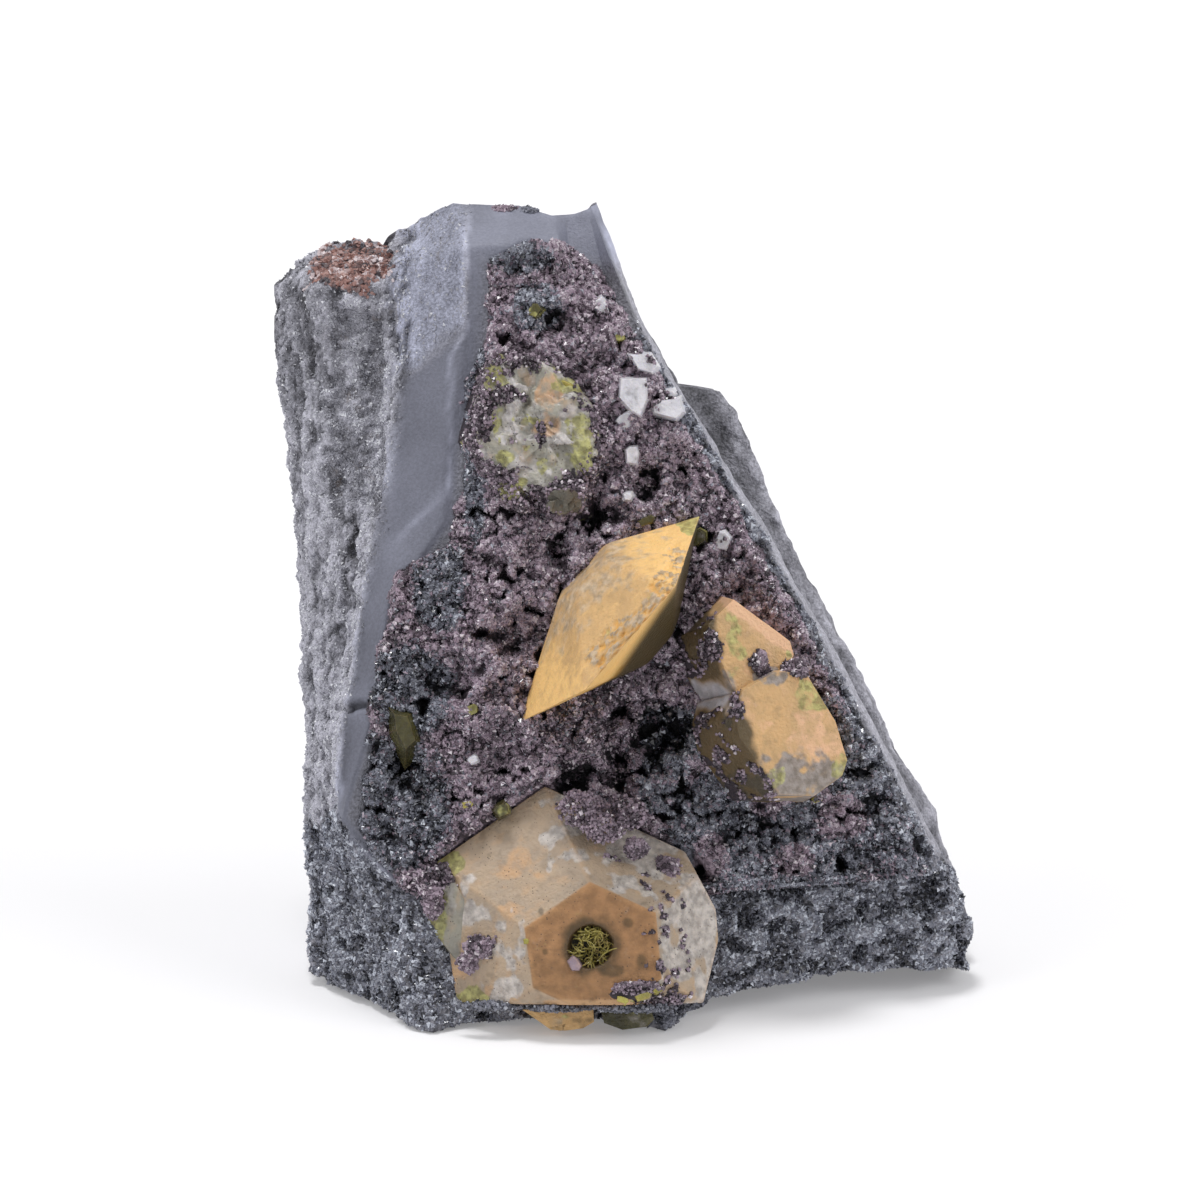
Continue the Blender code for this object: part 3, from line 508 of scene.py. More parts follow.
def hidden_share(points):
    """0 where the block shows from the front, rising to 1 deep behind its face."""
    return np.clip((points[..., 2] - HIDDEN_FROM) / HIDDEN_OVER, 0.0, 1.0)


def weathered(points):
    """The broad swell of the block: gentle waves in front, stronger ones behind, none at the foot."""
    share = hidden_share(points)
    size = ROCK_WAVE + (BACK_WAVE - ROCK_WAVE) * share
    calm = np.clip((to_world(points)[..., 2] / MM - CALM_FOOT) / CALM_FADE, 0.0, 1.0)
    push = []
    for seed in (11, 12, 13):
        fine = wave(points, ROCK_WAVE_SIZE, seed)
        broad = wave(points, BACK_WAVE_SIZE, seed + 10)
        push.append((fine * (1.0 - share) + broad * share) * size * calm)
    return points + np.stack(push, axis=-1)


def broken(points):
    """Break the hidden sides flat: what lies outside a break's plane is set down onto it."""
    place = to_world(points) / MM - BREAK_MIDDLE
    share = hidden_share(points)
    for direction, distance in BREAKS:
        outward = np.array(direction) / np.linalg.norm(direction)
        beyond = np.maximum(place @ outward - distance, 0.0) * share
        place = place - beyond[..., None] * outward
    return from_world(place + BREAK_MIDDLE)


def ring_normals(points):
    """Outward directions of a closed sleeve, from its neighbours round and along it."""
    around = np.roll(points, -1, axis=1) - np.roll(points, 1, axis=1)
    up = np.gradient(points, axis=0)
    across = np.cross(up, around)
    return across / np.maximum(np.linalg.norm(across, axis=-1, keepdims=True), 1e-9)


def stretch_mask(first, last, fade=3.0):
    """1 on the columns from one edge line round to another, fading over a few columns."""
    total = stretch_start[-1]
    column = (np.arange(total) - stretch_start[first] + fade) % total
    length = (stretch_start[last] - stretch_start[first]) % total
    return ease(column, 0.0, 2.0 * fade) * (1.0 - ease(column, length, length + 2.0 * fade))


def between(value, low, high, fade):
    """1 between two values, fading to 0 over a short distance on either side."""
    return ease(value, low - fade, low + fade) * (1.0 - ease(value, high - fade, high + fade))


def near_line(points, places, low, high, width):
    """1 on a line given as (h, x) places and 0 at its width, between two heights."""
    x, h = points[..., 0], points[..., 1]
    heights, xs = zip(*places)
    away = np.abs(x - np.interp(h, heights, xs) + 0.30 * wave(points, 1.4, 75))
    return (1.0 - ease(away, 0.2 * width, width)) * between(h, low, high, 0.8)


STEP_LINE = [(11.6, -17.3), (15.9, -21.7), (18.3, -21.3), (27.7, -21.2), (32.6, -19.5), (41.6, -19.3),
             (50.7, -17.0), (56.0, -17.4), (61.0, -16.4)]
RIDGE_LINE = [(40.0, -12.9), (51.0, -12.6), (52.2, -11.8), (62.0, -11.7)]
NOTCH_LINE = [(57.3, -14.8), (61.2, -15.5)]
FACET_LINE = [(36.9, -17.0), (40.4, -13.2)]
FOOT_LINE = [(-24.0, 15.5), (-21.4, 15.8), (-17.3, 11.6), (-12.0, 6.6), (-6.0, 7.4), (4.0, 9.4), (9.2, 11.0),
             (23.8, 12.2), (27.0, 12.4)]


def rock_masks(points):
    """Where the ore is ribbed, granular, slate-smooth, pale, dark, red or part of the slab behind, and where painted
    highlights run along its edges.
    """
    x, h, d = points[..., 0], points[..., 1], points[..., 2]
    ragged = 0.9 * wave(points, 2.2, 71) + 0.4 * wave(points, 0.8, 72)
    front = 1.0 - ease(d, 9.0, 13.0)
    left = stretch_mask(20, 4)[None, :] * np.ones_like(x)
    foot = np.interp(x, *zip(*FOOT_LINE))
    dark = (1.0 - ease(h + ragged, foot - 0.5, foot + 0.9)) * front
    column = np.arange(x.shape[1])[None, :] + 1.6 * ragged
    by_rim = between(column, stretch_start[11] + 10.0, stretch_start[13] - 6.0, 2.0) * between(h, 12.0, 52.0, 2.0)
    dark = np.maximum(dark, by_rim)
    beside = np.interp(h, *zip(*STEP_LINE))
    ridge = np.interp(h, *zip(*RIDGE_LINE))
    pale = ease(x + 0.4 * ragged, beside - 0.4, beside + 0.4) * (1.0 - ease(x, ridge - 0.1, ridge + 0.5))
    pale = pale * ease(h + 1.3 * ragged - 0.5 * (x + 14.0), 50.0, 52.5) * front
    slate = (1.0 - left) * stretch_mask(3, 6)[None, :] * (1.0 - pale)
    slate = np.maximum(slate, ease(h + 0.5 * ragged, 56.5, 59.0) * ease(x, -12.4, -11.2) * front)
    granular = between(x + 0.3 * ragged, -22.0, -17.8, 0.4) * between(h + ragged, 39.0, 54.5, 1.2)
    granular = granular * left
    ribbed = left * (1.0 - granular)
    slab = stretch_mask(14, 17)[None, :] * np.ones_like(x)
    frayed = fractal(points, 1.5, 3, 74)
    red = ease(h + 0.9 * frayed, 56.1, 56.8) * between(x + 0.7 * frayed, -23.4, -17.7, 0.4) * front
    # Painted highlights: light lines along the step, the ridge, the notch and the facet's edge.
    lit = 0.9 * near_line(points, STEP_LINE, 10.0, 51.0, 0.65)
    lit = np.maximum(lit, 0.65 * near_line(points, RIDGE_LINE, 40.5, 61.5, 0.30) * ease(ragged, -1.1, 0.2))
    lit = np.maximum(lit, 0.8 * near_line(points, NOTCH_LINE, 57.5, 61.0, 0.3))
    lit = np.maximum(lit, 0.35 * near_line(points, FACET_LINE, 37.0, 40.2, 0.5))
    lit = lit * (1.0 - ease(d, 7.0, 10.0))
    # Painted highlights down the right rim and the slab's front edge.
    column = np.arange(x.shape[1])[None, :] + 0.8 * ragged
    rims = between(column, stretch_start[13] - 5.0, stretch_start[13] + 2.5, 1.2)
    rims = np.maximum(rims, 0.8 * (1.0 - ease(np.abs(column - stretch_start[15]), 0.8, 2.6)))
    lit = np.maximum(lit * (1.0 - 0.6 * dark), rims * between(h, 13.0, 61.0, 1.0))
    clear = 1.0 - dark
    return dict(dark=dark, pale=pale * clear, slate=slate * clear, granular=granular * clear,
                ribbed=ribbed * clear, slab=slab, red=red, lit=lit,
                hidden=hidden_share(points))


def splinters(points):
    """A number from -1 to 1 for each upright splinter of the left side, with sharp steps between them."""
    bent = points + 0.5 * np.stack([wave(points, 1.2, 109), 2.0 * wave(points, 1.6, 110), 0.0 * points[..., 0]], axis=-1)
    return seeds_near(bent * np.array([1.0, 0.30, 1.0]), 1.5, 108)[1]


def rock_relief(points, masks):
    """Height of the fine relief, in millimetres, from the masks and several sizes of noise."""
    bend = 0.9 * wave(points, 4.0, 79) + 0.35 * wave(points, 1.3, 80)
    upright = (points + np.stack([bend, 0.0 * bend, bend], axis=-1)) * np.array([1.0, 0.13, 1.0])
    ribs = 0.5 - np.abs(fractal(upright, 1.25, 3, 81))
    ragged = fractal(points, 1.4, 4, 77)
    breaks = ease(wave(points * np.array([0.6, 1.0, 0.6]), 2.3, 83) + 0.5 * wave(points, 0.7, 82), 0.45, 0.8)
    grain = fractal(points, 0.9, 2, 84)
    near, own = seeds_near(points, 0.62, 87)
    bumps = 0.7 - near + 0.3 * own
    lumps = fractal(points, 2.6, 3, 91)
    blocks_near, blocks = seeds_near(points * np.array([0.75, 1.2, 1.0]), 1.9, 105)
    holes = ease(wave(points, 1.3, 94), 0.40, 0.75)
    layer = points[..., 2] / LAYER_STEP + 0.5 * wave(points, 6.0, 96) + 0.28 * fractal(points, 1.9, 3, 89)
    ledge = ease(layer - np.floor(layer), 0.70, 1.0) * ease(wave(points, 5.0, 88), -0.2, 0.4)
    strata = fractal(points * np.array([0.10, 0.10, 1.0]), 0.8, 3, 99)
    chipped = 0.5 - np.abs(fractal(points, 5.5, 4, 103))
    crack = near_line(points[..., [1, 0, 2]], [(-21.6, 24.2), (-18.2, 24.8)], -21.4, -18.4, 0.35)
    crack = crack * (1.0 - ease(points[..., 2], 5.0, 7.0))
    right = ease(points[..., 0], 6.0, 8.0)
    height = masks["ribbed"] * (0.42 * ribs + 0.24 * ragged + 0.24 * bumps + 0.10 * grain - 0.22 * breaks)
    height = height + (masks["ribbed"] + 0.5 * masks["granular"]) * 0.24 * splinters(points)
    height = height + masks["granular"] * (0.20 * lumps + 0.24 * bumps + 0.12 * grain - 0.35)
    small_holes = ease(wave(points, 0.75, 97), 0.35, 0.7)
    rough = 0.48 * lumps + 0.34 * bumps - 1.1 * holes - 0.45 * small_holes + 0.45 * right * blocks
    height = height + masks["dark"] * rough
    height = height + masks["slate"] * (0.04 * fractal(points, 3.5, 3, 98) + 0.02 * grain)
    height = height + masks["pale"] * (0.10 * ribs + 0.06 * grain + 0.04 * bumps)
    height = height + masks["red"] * (0.30 * bumps + 0.18 * grain)
    height = height + masks["lit"] * (0.05 + 0.08 * grain) - 0.6 * crack
    height = height + masks["slab"] * (0.26 * strata + 0.12 * grain + 0.12 * lumps + 0.10 * bumps)
    behind = 0.45 * chipped + 0.22 * lumps + 0.12 * grain + 0.14 * bumps + 0.20 * strata - 0.35 * ledge
    return height + masks["hidden"] * (1.0 - masks["slab"]) * behind


def rock_tone(points, masks, height):
    """How light the ore is, from 0 to 1: each zone's own tone, its noise, painted highlights on the lit lines, and
    painted light and shading from the relief, lighter on raised places and darker in hollows.
    """
    fine = wave(points, 0.45, 301)
    mottle = fractal(points, 1.6, 3, 303)
    upright = fractal(points * np.array([1.0, 0.12, 1.0]), 0.9, 3, 307)
    tone = 0.56 + 0.04 * mottle
    band = between(points[..., 0], -24.3, -22.2, 0.5)
    low = 1.0 - ease(points[..., 1], 33.0, 40.0)
    streaks = 0.20 * upright + 0.15 * fine + 0.12 * mottle
    shoulder = between(points[..., 1], 50.0, 56.0, 1.5) * (1.0 - ease(points[..., 0], -21.8, -20.6))
    tone = tone + masks["ribbed"] * (0.14 + streaks + 0.06 * band + 0.09 * low - 0.12 * shoulder)
    tone = tone + masks["granular"] * (0.14 + 0.10 * mottle + 0.22 * fine)
    tone = tone + (masks["ribbed"] + 0.5 * masks["granular"]) * 0.055 * splinters(points)
    strata = fractal(points * np.array([0.10, 0.10, 1.0]), 0.6, 3, 99)
    tone = tone + masks["slab"] * (-0.03 + 0.12 * ease(-points[..., 1], -37.0, -31.0) + 0.07 * strata + 0.06 * fine)
    tone = tone + masks["hidden"] * (0.06 * mottle + 0.05 * strata + 0.06 * fine)
    diagonal = near_line(points, FACET_LINE + [(43.5, -11.0)], 35.0, 43.0, 1.3)
    tone = tone + masks["slate"] * (-0.03 - 0.035 * mottle - 0.04 * ease(-points[..., 1], -33.0, -27.0)
                                    + 0.05 * diagonal + 0.08 * ease(points[..., 1] + mottle, 54.0, 59.0))
    tone = tone + masks["pale"] * (0.19 + 0.05 * fine + 0.03 * upright)
    tone = tone + masks["dark"] * (-0.08 + 0.13 * fine)
    # Painted highlights on the lit lines.
    tone = tone + masks["lit"] * (0.25 + 0.08 * fine)
    # Painted light and shade from the relief: raised places lighter, hollows darker.
    relief_light_and_shade = np.clip((height - blurred(height, 24)) / 0.16, -1.2, 1.2)
    return np.clip(tone + (0.12 + 0.06 * np.maximum(masks["dark"], masks["ribbed"])) * relief_light_and_shade, 0.06, 0.95)


base_rings = block_rings(ROCK_ROWS)
body = broken(weathered(base_rings))
rock_mask = rock_masks(body)
under = ease(inside_druse(body[..., 0], body[..., 1]), 0.7, 1.6) * (1.0 - ease(body[..., 2], 6.0, 8.0))
above_foot = ease(to_world(body)[..., 2] / MM, 0.1, 0.8)
raised = rock_relief(body, rock_mask)
rock_mask["tone"] = rock_tone(body, rock_mask, raised)
relief = raised * above_foot * (1.0 - under) - SUNK_UNDER_DRUSE * under
body = body + ring_normals(body) * relief[..., None]
print("the relief of the ore runs from", round(relief.min(), 2), "to", round(relief.max(), 2), "mm")


# %% Close the block below and above
FOOT_SMOOTHING = 8


def foot_ring(rim):
    """The edge of the flat underside: the lowest ring drawn in, and set back in front.

    A place on the floor at back y shows at the height (y + foot middle) sin(lean) from the front, so the
    ring goes back to where that is the rim's own height, and the flat stays out of sight.
    """
    flat = to_world(rim) / MM
    middle = flat[:, :2].mean(axis=0)
    arm = flat[:, :2] - middle
    length = np.linalg.norm(arm, axis=1, keepdims=True)
    plan = middle + arm * (length - FOOT_INSET) / length
    set_back = np.maximum(plan[:, 1], rim[:, 1] / math.sin(LEAN) - FOOT_MIDDLE)
    in_front = 1.0 - ease(rim[:, 2], 11.0, 14.0)
    plan[:, 1] = set_back * in_front + plan[:, 1] * (1.0 - in_front)
    for turn in range(FOOT_SMOOTHING):
        plan = 0.5 * plan + 0.25 * (np.roll(plan, 1, axis=0) + np.roll(plan, -1, axis=0))
    return from_world(np.stack([plan[:, 0], plan[:, 1], np.zeros(len(plan))], axis=-1))


def top_sheet(rim):
    """Straight strips from each front point of the rim to its pair behind, on a low rough crown.

    A strip's point is front (1 - t) + behind t, raised by 4 t (1 - t) times the crown's height.
    """
    half = len(rim) // 2
    front = rim[:half + 1]
    behind = rim[(len(rim) - np.arange(half + 1)) % len(rim)]
    t = np.linspace(0.0, 1.0, TOP_CELLS + 1)[None, :, None]
    sheet = front[:, None, :] * (1.0 - t) + behind[:, None, :] * t
    swell = 4.0 * t[..., 0] * (1.0 - t[..., 0])
    rough = 0.35 * fractal(sheet, 2.4, 3, 101)
    sheet[..., 1] += swell * (TOP_BULGE + rough)
    return sheet


def top_faces(columns, first, fresh):
    """Faces of the top sheet: its ends are the rim's own points, and its middle points are new."""
    half = columns // 2
    index = np.empty((half + 1, TOP_CELLS + 1), dtype=int)
    index[:, 0] = first + np.arange(half + 1)
    index[:, -1] = first + (columns - np.arange(half + 1)) % columns
    inner = np.arange((half - 1) * (TOP_CELLS - 1)).reshape(half - 1, TOP_CELLS - 1)
    index[1:-1, 1:-1] = fresh + inner
    index[0, 1:-1] = index[0, 0]
    index[-1, 1:-1] = index[-1, 0]
    a, b, c, d = index[:-1, :-1], index[1:, :-1], index[1:, 1:], index[:-1, 1:]
    quads = np.stack([a, b, c, d], axis=-1)
    first_strip = quads[0]
    last_strip = quads[-1]
    start_fan = np.stack([first_strip[:, 0], first_strip[:, 1], first_strip[:, 2]], axis=-1)
    end_fan = np.stack([last_strip[:, 0], last_strip[:, 1], last_strip[:, 3]], axis=-1)
    return quads[1:-1].reshape(-1, 4), np.concatenate([start_fan, end_fan])


columns = body.shape[1]
foot = foot_ring(base_rings[0])
skirt_share = np.linspace(0.0, 1.0, FOOT_ROWS + 1)[:-1, None, None]
skirt = foot[None] * (1.0 - skirt_share) + body[0][None] * skirt_share
hollowed = np.abs(fractal(skirt, 1.8, 3, 106)) * 3.0 * (skirt_share * (1.0 - skirt_share))[..., 0]
skirt[..., 1] += hollowed * math.cos(LEAN)
skirt[..., 2] -= hollowed * math.sin(LEAN)
sleeve = np.concatenate([skirt, body])
crown = top_sheet(body[-1])
rows = len(sleeve)
rock_points = np.concatenate([sleeve.reshape(-1, 3), crown[1:-1, 1:-1].reshape(-1, 3)])
crown_quads, crown_triangles = top_faces(columns, (rows - 1) * columns, rows * columns)
rock_faces = [sleeve_faces(rows, columns), crown_quads, crown_triangles,
              np.arange(columns)[::-1][None, :]]
crown_count = len(rock_points) - rows * columns
rock_values = {}
for key, values in rock_mask.items():
    lower = np.repeat(values[:1], FOOT_ROWS, axis=0)
    if key == "tone":
        lower = np.clip(0.38 + 0.12 * fractal(skirt, 0.8, 3, 107), 0.0, 1.0)
    fill = dict(hidden=0.6, tone=0.55).get(key, 0.0)
    rock_values[key] = np.concatenate([lower.ravel(), values.ravel(), np.full(crown_count, fill)])
print("the block has", len(rock_points), "points")

# %% [markdown]
# The ore's finish
#
# The ore is a dark bluish grey. Its slate facet is matt and even, the step and the edge lines are painted
# paler as painted highlights, the foot is nearly black with a glitter of tiny faces, and a rusty red patch
# of druse sits on the left shoulder. One finish mixes them by the masks. The glitter is low roughness on a
# fine bump.

# %% Ore finish and block
def ore_finish():
    """Grey ore: its tone squared times a bluish grey, with brown stains and rust over it."""
    finish, tree, shader = new_finish("ore", 0.55, 0.45)
    fine = ranged(tree, cloud(tree, 0.22, 4.0), 0.25, 0.75)
    rough_share = maths(tree, "SUBTRACT", 1.0, maths(tree, "MULTIPLY", mask(tree, "slate"), 0.75))
    swing = maths(tree, "MULTIPLY", maths(tree, "SUBTRACT", fine, 0.5), 0.26)
    tone = maths(tree, "ADD", mask(tree, "tone"), maths(tree, "MULTIPLY", swing, rough_share))
    unseen = maths(tree, "MAXIMUM", mask(tree, "hidden"), mask(tree, "slab"))
    mottle = maths(tree, "SUBTRACT", ranged(tree, cloud(tree, 1.7, 11.0), 0.36, 0.64), 0.5)
    tone = maths(tree, "ADD", tone, maths(tree, "MULTIPLY", maths(tree, "MULTIPLY", mottle, 0.22), unseen))
    tone = maths(tree, "MULTIPLY", tone, tone)
    cool = maths(tree, "MAXIMUM", mask(tree, "slate"), mask(tree, "pale"))
    full = mixed(tree, cool, solid((0.60, 0.595, 0.68)), solid((0.575, 0.595, 0.75)))
    colour = mixed(tree, tone, solid((0.004, 0.004, 0.006)), full)
    streak = ranged(tree, cloud(tree, 1.1, 4.0, (1.0, 0.35, 0.35)), 0.60, 0.72)
    streak = maths(tree, "MULTIPLY", streak, mask(tree, "pale"))
    colour = mixed(tree, maths(tree, "MULTIPLY", streak, 0.6), colour, solid((0.17, 0.135, 0.085)))
    warm = maths(tree, "MULTIPLY", ranged(tree, cloud(tree, 1.4, 4.0), 0.58, 0.72), mask(tree, "granular"))
    colour = mixed(tree, maths(tree, "MULTIPLY", warm, 0.45), colour, solid((0.14, 0.105, 0.08)))
    rust = mixed(tree, ranged(tree, cloud(tree, 0.5, 3.0), 0.48, 0.62), solid((0.09, 0.075, 0.085)),
                 solid((0.17, 0.10, 0.09)))
    colour = mixed(tree, mask(tree, "red"), colour, rust)
    plug(tree, shader.inputs["Base Color"], colour)
    bump = maths(tree, "ADD", cloud(tree, 0.16, 3.0), maths(tree, "MULTIPLY", cloud(tree, 0.6, 3.0), 0.7))
    bump = maths(tree, "ADD", bump, maths(tree, "MULTIPLY", mottle, maths(tree, "MULTIPLY", unseen, 2.0)))
    add_bump(tree, shader, maths(tree, "MULTIPLY", bump, rough_share), 0.24)
    return finish


rock = make_piece("block", rock_points, rock_faces, rock_values, ore_finish(),
                  ["host_rock"])

# %% [markdown]
# The druse
#
# The crust is a cauliflower of small garnets, with lumps on lumps and dark hollows between them. As a
# base it is a height over the block's own face: a lump noise at four sizes, less the open pits. Its
# edge dives under the stone, so no seam shows. Single crystals come later and sit on this base.

# %% Shape the crust
BED_DEPTH = 4.0
BED_SLOPE = 0.07
CRUST_PROUD = 0.7
LUMP_HEIGHT = 0.75
LUMP_SIZE = 3.0
SMALL_LUMP_SHARE = 0.5
SMALL_LUMP_SIZE = 1.35
CRUST_ROWS = 330
CRUST_COLUMNS = 292


def crust_height(x, h):
    """How far the druse stands out: a base and rounded lumps of four sizes, less pits and hollows."""
    flat = np.stack([x, h, np.zeros_like(x)], axis=-1)
    lumps = wave(flat, LUMP_SIZE, 31) + SMALL_LUMP_SHARE * wave(flat, SMALL_LUMP_SIZE, 32)
    height = CRUST_PROUD + LUMP_HEIGHT * lumps
    for px, ph, radius, depth in PITS:
        torn_radius = radius * (1.0 + 0.35 * wave(flat, 1.1, 63) + 0.2 * wave(flat, 0.5, 64))
        away = ((x - px) ** 2 + (h - ph) ** 2) / torn_radius ** 2
        height = height - depth * np.exp(-away * away)
    bent = flat + 0.30 * np.stack([wave(flat, 1.0, 61), wave(flat, 1.0, 62), 0.0 * x], axis=-1)
    near, own = seeds_near(bent, 1.1, 33)
    tiny, tiny_own = seeds_near(bent, 0.42, 37)
    height = height + 0.20 * (0.55 - near) + 0.18 * own + 0.30 * (0.55 - tiny) + 0.26 * tiny_own
    height = height + 0.42 * fractal(flat, 1.15, 4, 43)
    height = height - 1.5 * ease(wave(bent, 1.5, 41) + 0.55 * wave(bent, 0.55, 42), 0.58, 0.88)
    return height + 0.15


def crust_grid():
    """The crust's front as rows and columns between its two ragged edges."""
    h = np.linspace(CRUST_LEFT[0][0], CRUST_LEFT[-1][0], CRUST_ROWS)[:, None]
    t = np.linspace(0.0, 1.0, CRUST_COLUMNS)[None, :]
    left = chain_x(CRUST_LEFT, h)
    right = chain_x(CRUST_RIGHT, h)
    x = left + (right - left) * t
    h = h + 0.0 * x
    return x, h


crust_x, crust_h = crust_grid()
crust_flat = np.stack([crust_x, crust_h, np.zeros_like(crust_x)], axis=-1)
crust_proud = crust_height(crust_x, crust_h)
inside = inside_druse(crust_x, crust_h) + 0.35 * wave(crust_flat, 1.1, 45)
rise = ease(inside, 0.0, 0.9)
crust_d = front_depth(crust_x, crust_h) - crust_proud * rise + 0.45 * (1.0 - rise)
LENS_OUTLINE = [(5.0, 9.4), (65.0, 9.2), (125.0, 11.8), (188.0, 10.8), (305.0, 10.0)]
LENS_MIDDLE = (-2.0, 6.7)
LENS_BACK_DEPTH = 1.5
from_lens = np.full(crust_x.shape, -99.0)
for azimuth, girdle in LENS_OUTLINE:
    angle = math.radians(azimuth)
    reach = (crust_x - LENS_MIDDLE[0]) * math.cos(angle) + (crust_h - LENS_MIDDLE[1]) * math.sin(angle)
    from_lens = np.maximum(from_lens, reach - girdle)
crust_d = np.maximum(crust_d, LENS_BACK_DEPTH - 4.0 * ease(from_lens, 0.0, 1.1))
crust_bed = BED_DEPTH + BED_SLOPE * crust_x + 1.8
crust_floor = crust_bed - 0.8 - 0.5 * fractal(crust_flat, 1.0, 3, 47)
sunk = ease(crust_d - front_depth(crust_x, crust_h), 0.1, 1.3) * ease(from_lens, 0.2, 1.0)
crust_d = np.minimum(crust_d, crust_floor)
crust_front = np.stack([crust_x, crust_h, crust_d], axis=-1)
crust_local = np.clip((crust_proud - blurred(crust_proud, 30)) / 0.32, -1.5, 1.5)
# Hollows, and the crust sunk behind the block's face, for painted shade.
painted_hollow_shade = np.maximum(ease(-0.15 - crust_proud, 0.0, 1.0), sunk)
print("the crust stands", round(crust_proud.mean(), 2), "mm out on average")


# %% Where the druse is black, grey or purple
def spot(x, h, centre_x, centre_h, radius_x, radius_h):
    """1 in the middle of an oval spot, falling to 0 at its rim."""
    away = ((x - centre_x) / radius_x) ** 2 + ((h - centre_h) / radius_h) ** 2
    return 1.0 - ease(np.sqrt(away), 0.6, 1.15)


BLACK_ZONES = [(-17.5, 17.0, 5.5, 6.5), (-16.0, 26.0, 3.8, 4.0), (-13.6, 33.5, 2.4, 3.5), (-10.8, 44.5, 1.3, 8.0),
               (-6.0, 54.5, 2.2, 2.2), (12.0, 14.0, 10.0, 4.5), (20.5, 15.0, 5.0, 5.0), (6.5, 15.5, 3.0, 5.0),
               (17.5, 22.0, 3.4, 5.0), (-8.0, 58.4, 3.2, 1.6), (4.5, 22.5, 3.8, 2.4), (3.6, 19.0, 2.6, 3.2)]


PURPLE_ZONES = [(16.7, 16.1, 2.3, 1.8), (13.1, 12.9, 1.7, 1.5), (6.8, 13.2, 1.4, 2.0), (11.0, 17.2, 1.4, 1.1)]


def black_share(x, h):
    """How black the druse is at a place: the named zones, with a ragged noise along their rims."""
    flat = np.stack([x, h, np.zeros_like(x)], axis=-1)
    total = np.zeros_like(x)
    for zone in BLACK_ZONES:
        total = np.maximum(total, spot(x, h, *zone))
    for zone in PURPLE_ZONES:
        total = total - 0.9 * spot(x, h, *zone)
    total = total + 0.38 * wave(flat, 2.4, 51) + 0.22 * wave(flat, 0.9, 52)
    return ease(total, 0.35, 0.75)


crust_black = black_share(crust_x, crust_h)
# Painted light and shade: lumps lighter, hollows darker.
crust_tone = 0.5 + 0.30 * crust_local + 0.12 * wave(crust_flat, 1.4, 55) - 0.35 * painted_hollow_shade
crust_tone = crust_tone + 0.12 * ease(crust_h, 38.0, 50.0)
crust_tone = crust_tone * (1.0 - 0.22 * spot(crust_x, crust_h, -16.5, 21.0, 5.0, 13.0))
# A painted shadow on the druse under the standing lens.
crust_tone = np.clip(crust_tone * (1.0 - 0.50 * spot(crust_x, crust_h, -0.5, 22.8, 6.4, 3.8)), 0.0, 1.0)
print("black share of the druse:", round(float(crust_black.mean()), 2))


# %% Druse finish and crust
def druse_finish():
    """The ground between the grains: purple-brown or black by zone, painted lighter on top of each lump and near black
    in the hollows, as painted light and shading.
    """
    finish, tree, shader = new_finish("druse_ground", 0.45, 0.5)
    fine = maths(tree, "MULTIPLY", maths(tree, "SUBTRACT", cloud(tree, 0.2, 3.0), 0.5), 0.9)
    tone = maths(tree, "ADD", mask(tree, "tone"), fine)
    tone = ranged(tree, tone, -0.05, 1.05)
    purple = mixed(tree, tone, solid((0.050, 0.038, 0.048)), solid((0.50, 0.395, 0.475)))
    black = mixed(tree, tone, solid((0.014, 0.015, 0.021)), solid((0.30, 0.305, 0.37)))
    colour = mixed(tree, mask(tree, "black"), purple, black)
    # Painted shade: the hollows nearly black.
    colour = mixed(tree, mask(tree, "painted_hollow_shade"), colour, solid((0.006, 0.006, 0.008)))
    plug(tree, shader.inputs["Base Color"], colour)
    add_bump(tree, shader, cloud(tree, 0.16, 3.0), 0.25)
    return finish


def edge_loop(rows, columns):
    """The indices round the border of a sheet."""
    bottom = np.arange(columns)
    right = np.arange(1, rows) * columns + columns - 1
    top = (rows - 1) * columns + np.arange(columns - 2, -1, -1)
    left = np.arange(rows - 2, 0, -1) * columns
    return np.concatenate([bottom, right, top, left])


border = edge_loop(CRUST_ROWS, CRUST_COLUMNS)
crust_back = crust_front.reshape(-1, 3)[border].copy()
crust_back[:, 2] = BED_DEPTH + BED_SLOPE * crust_back[:, 0] + 2.1
front_count = CRUST_ROWS * CRUST_COLUMNS
back_ring = front_count + np.arange(len(border))
wall = np.stack([border, back_ring, np.roll(back_ring, -1), np.roll(border, -1)], axis=-1)
crust_points = np.concatenate([crust_front.reshape(-1, 3), crust_back])
crust_faces = [sheet_faces(CRUST_ROWS, CRUST_COLUMNS), wall, back_ring[::-1][None, :]]
crust_values = {key: np.concatenate([values.ravel(), np.zeros(len(border))]) for key, values in
                (("black", crust_black), ("painted_hollow_shade", painted_hollow_shade), ("tone", crust_tone))}
crust = make_piece("druse_base", crust_points, crust_faces, crust_values, druse_finish(),
                   ["garnet_crust"])

# %% [markdown]
# Crystals with flat faces
#
# A sturmanite crystal here is a flat hexagonal lens: a small cap, six faces running down to a sharp
# rim, and the same behind. Its faces are planes, so the form is lofted between the hexagons where
# those planes meet, with columns closing up at each corner. The edges then lie exactly along rows and
# columns. A soft minimum over the planes wears the edges round by a hair, as on the real ones.

# %% Planes and lofts
def unit(vector):
    """The vector at length one."""
    vector = np.asarray(vector, dtype=float)
    return vector / np.linalg.norm(vector)


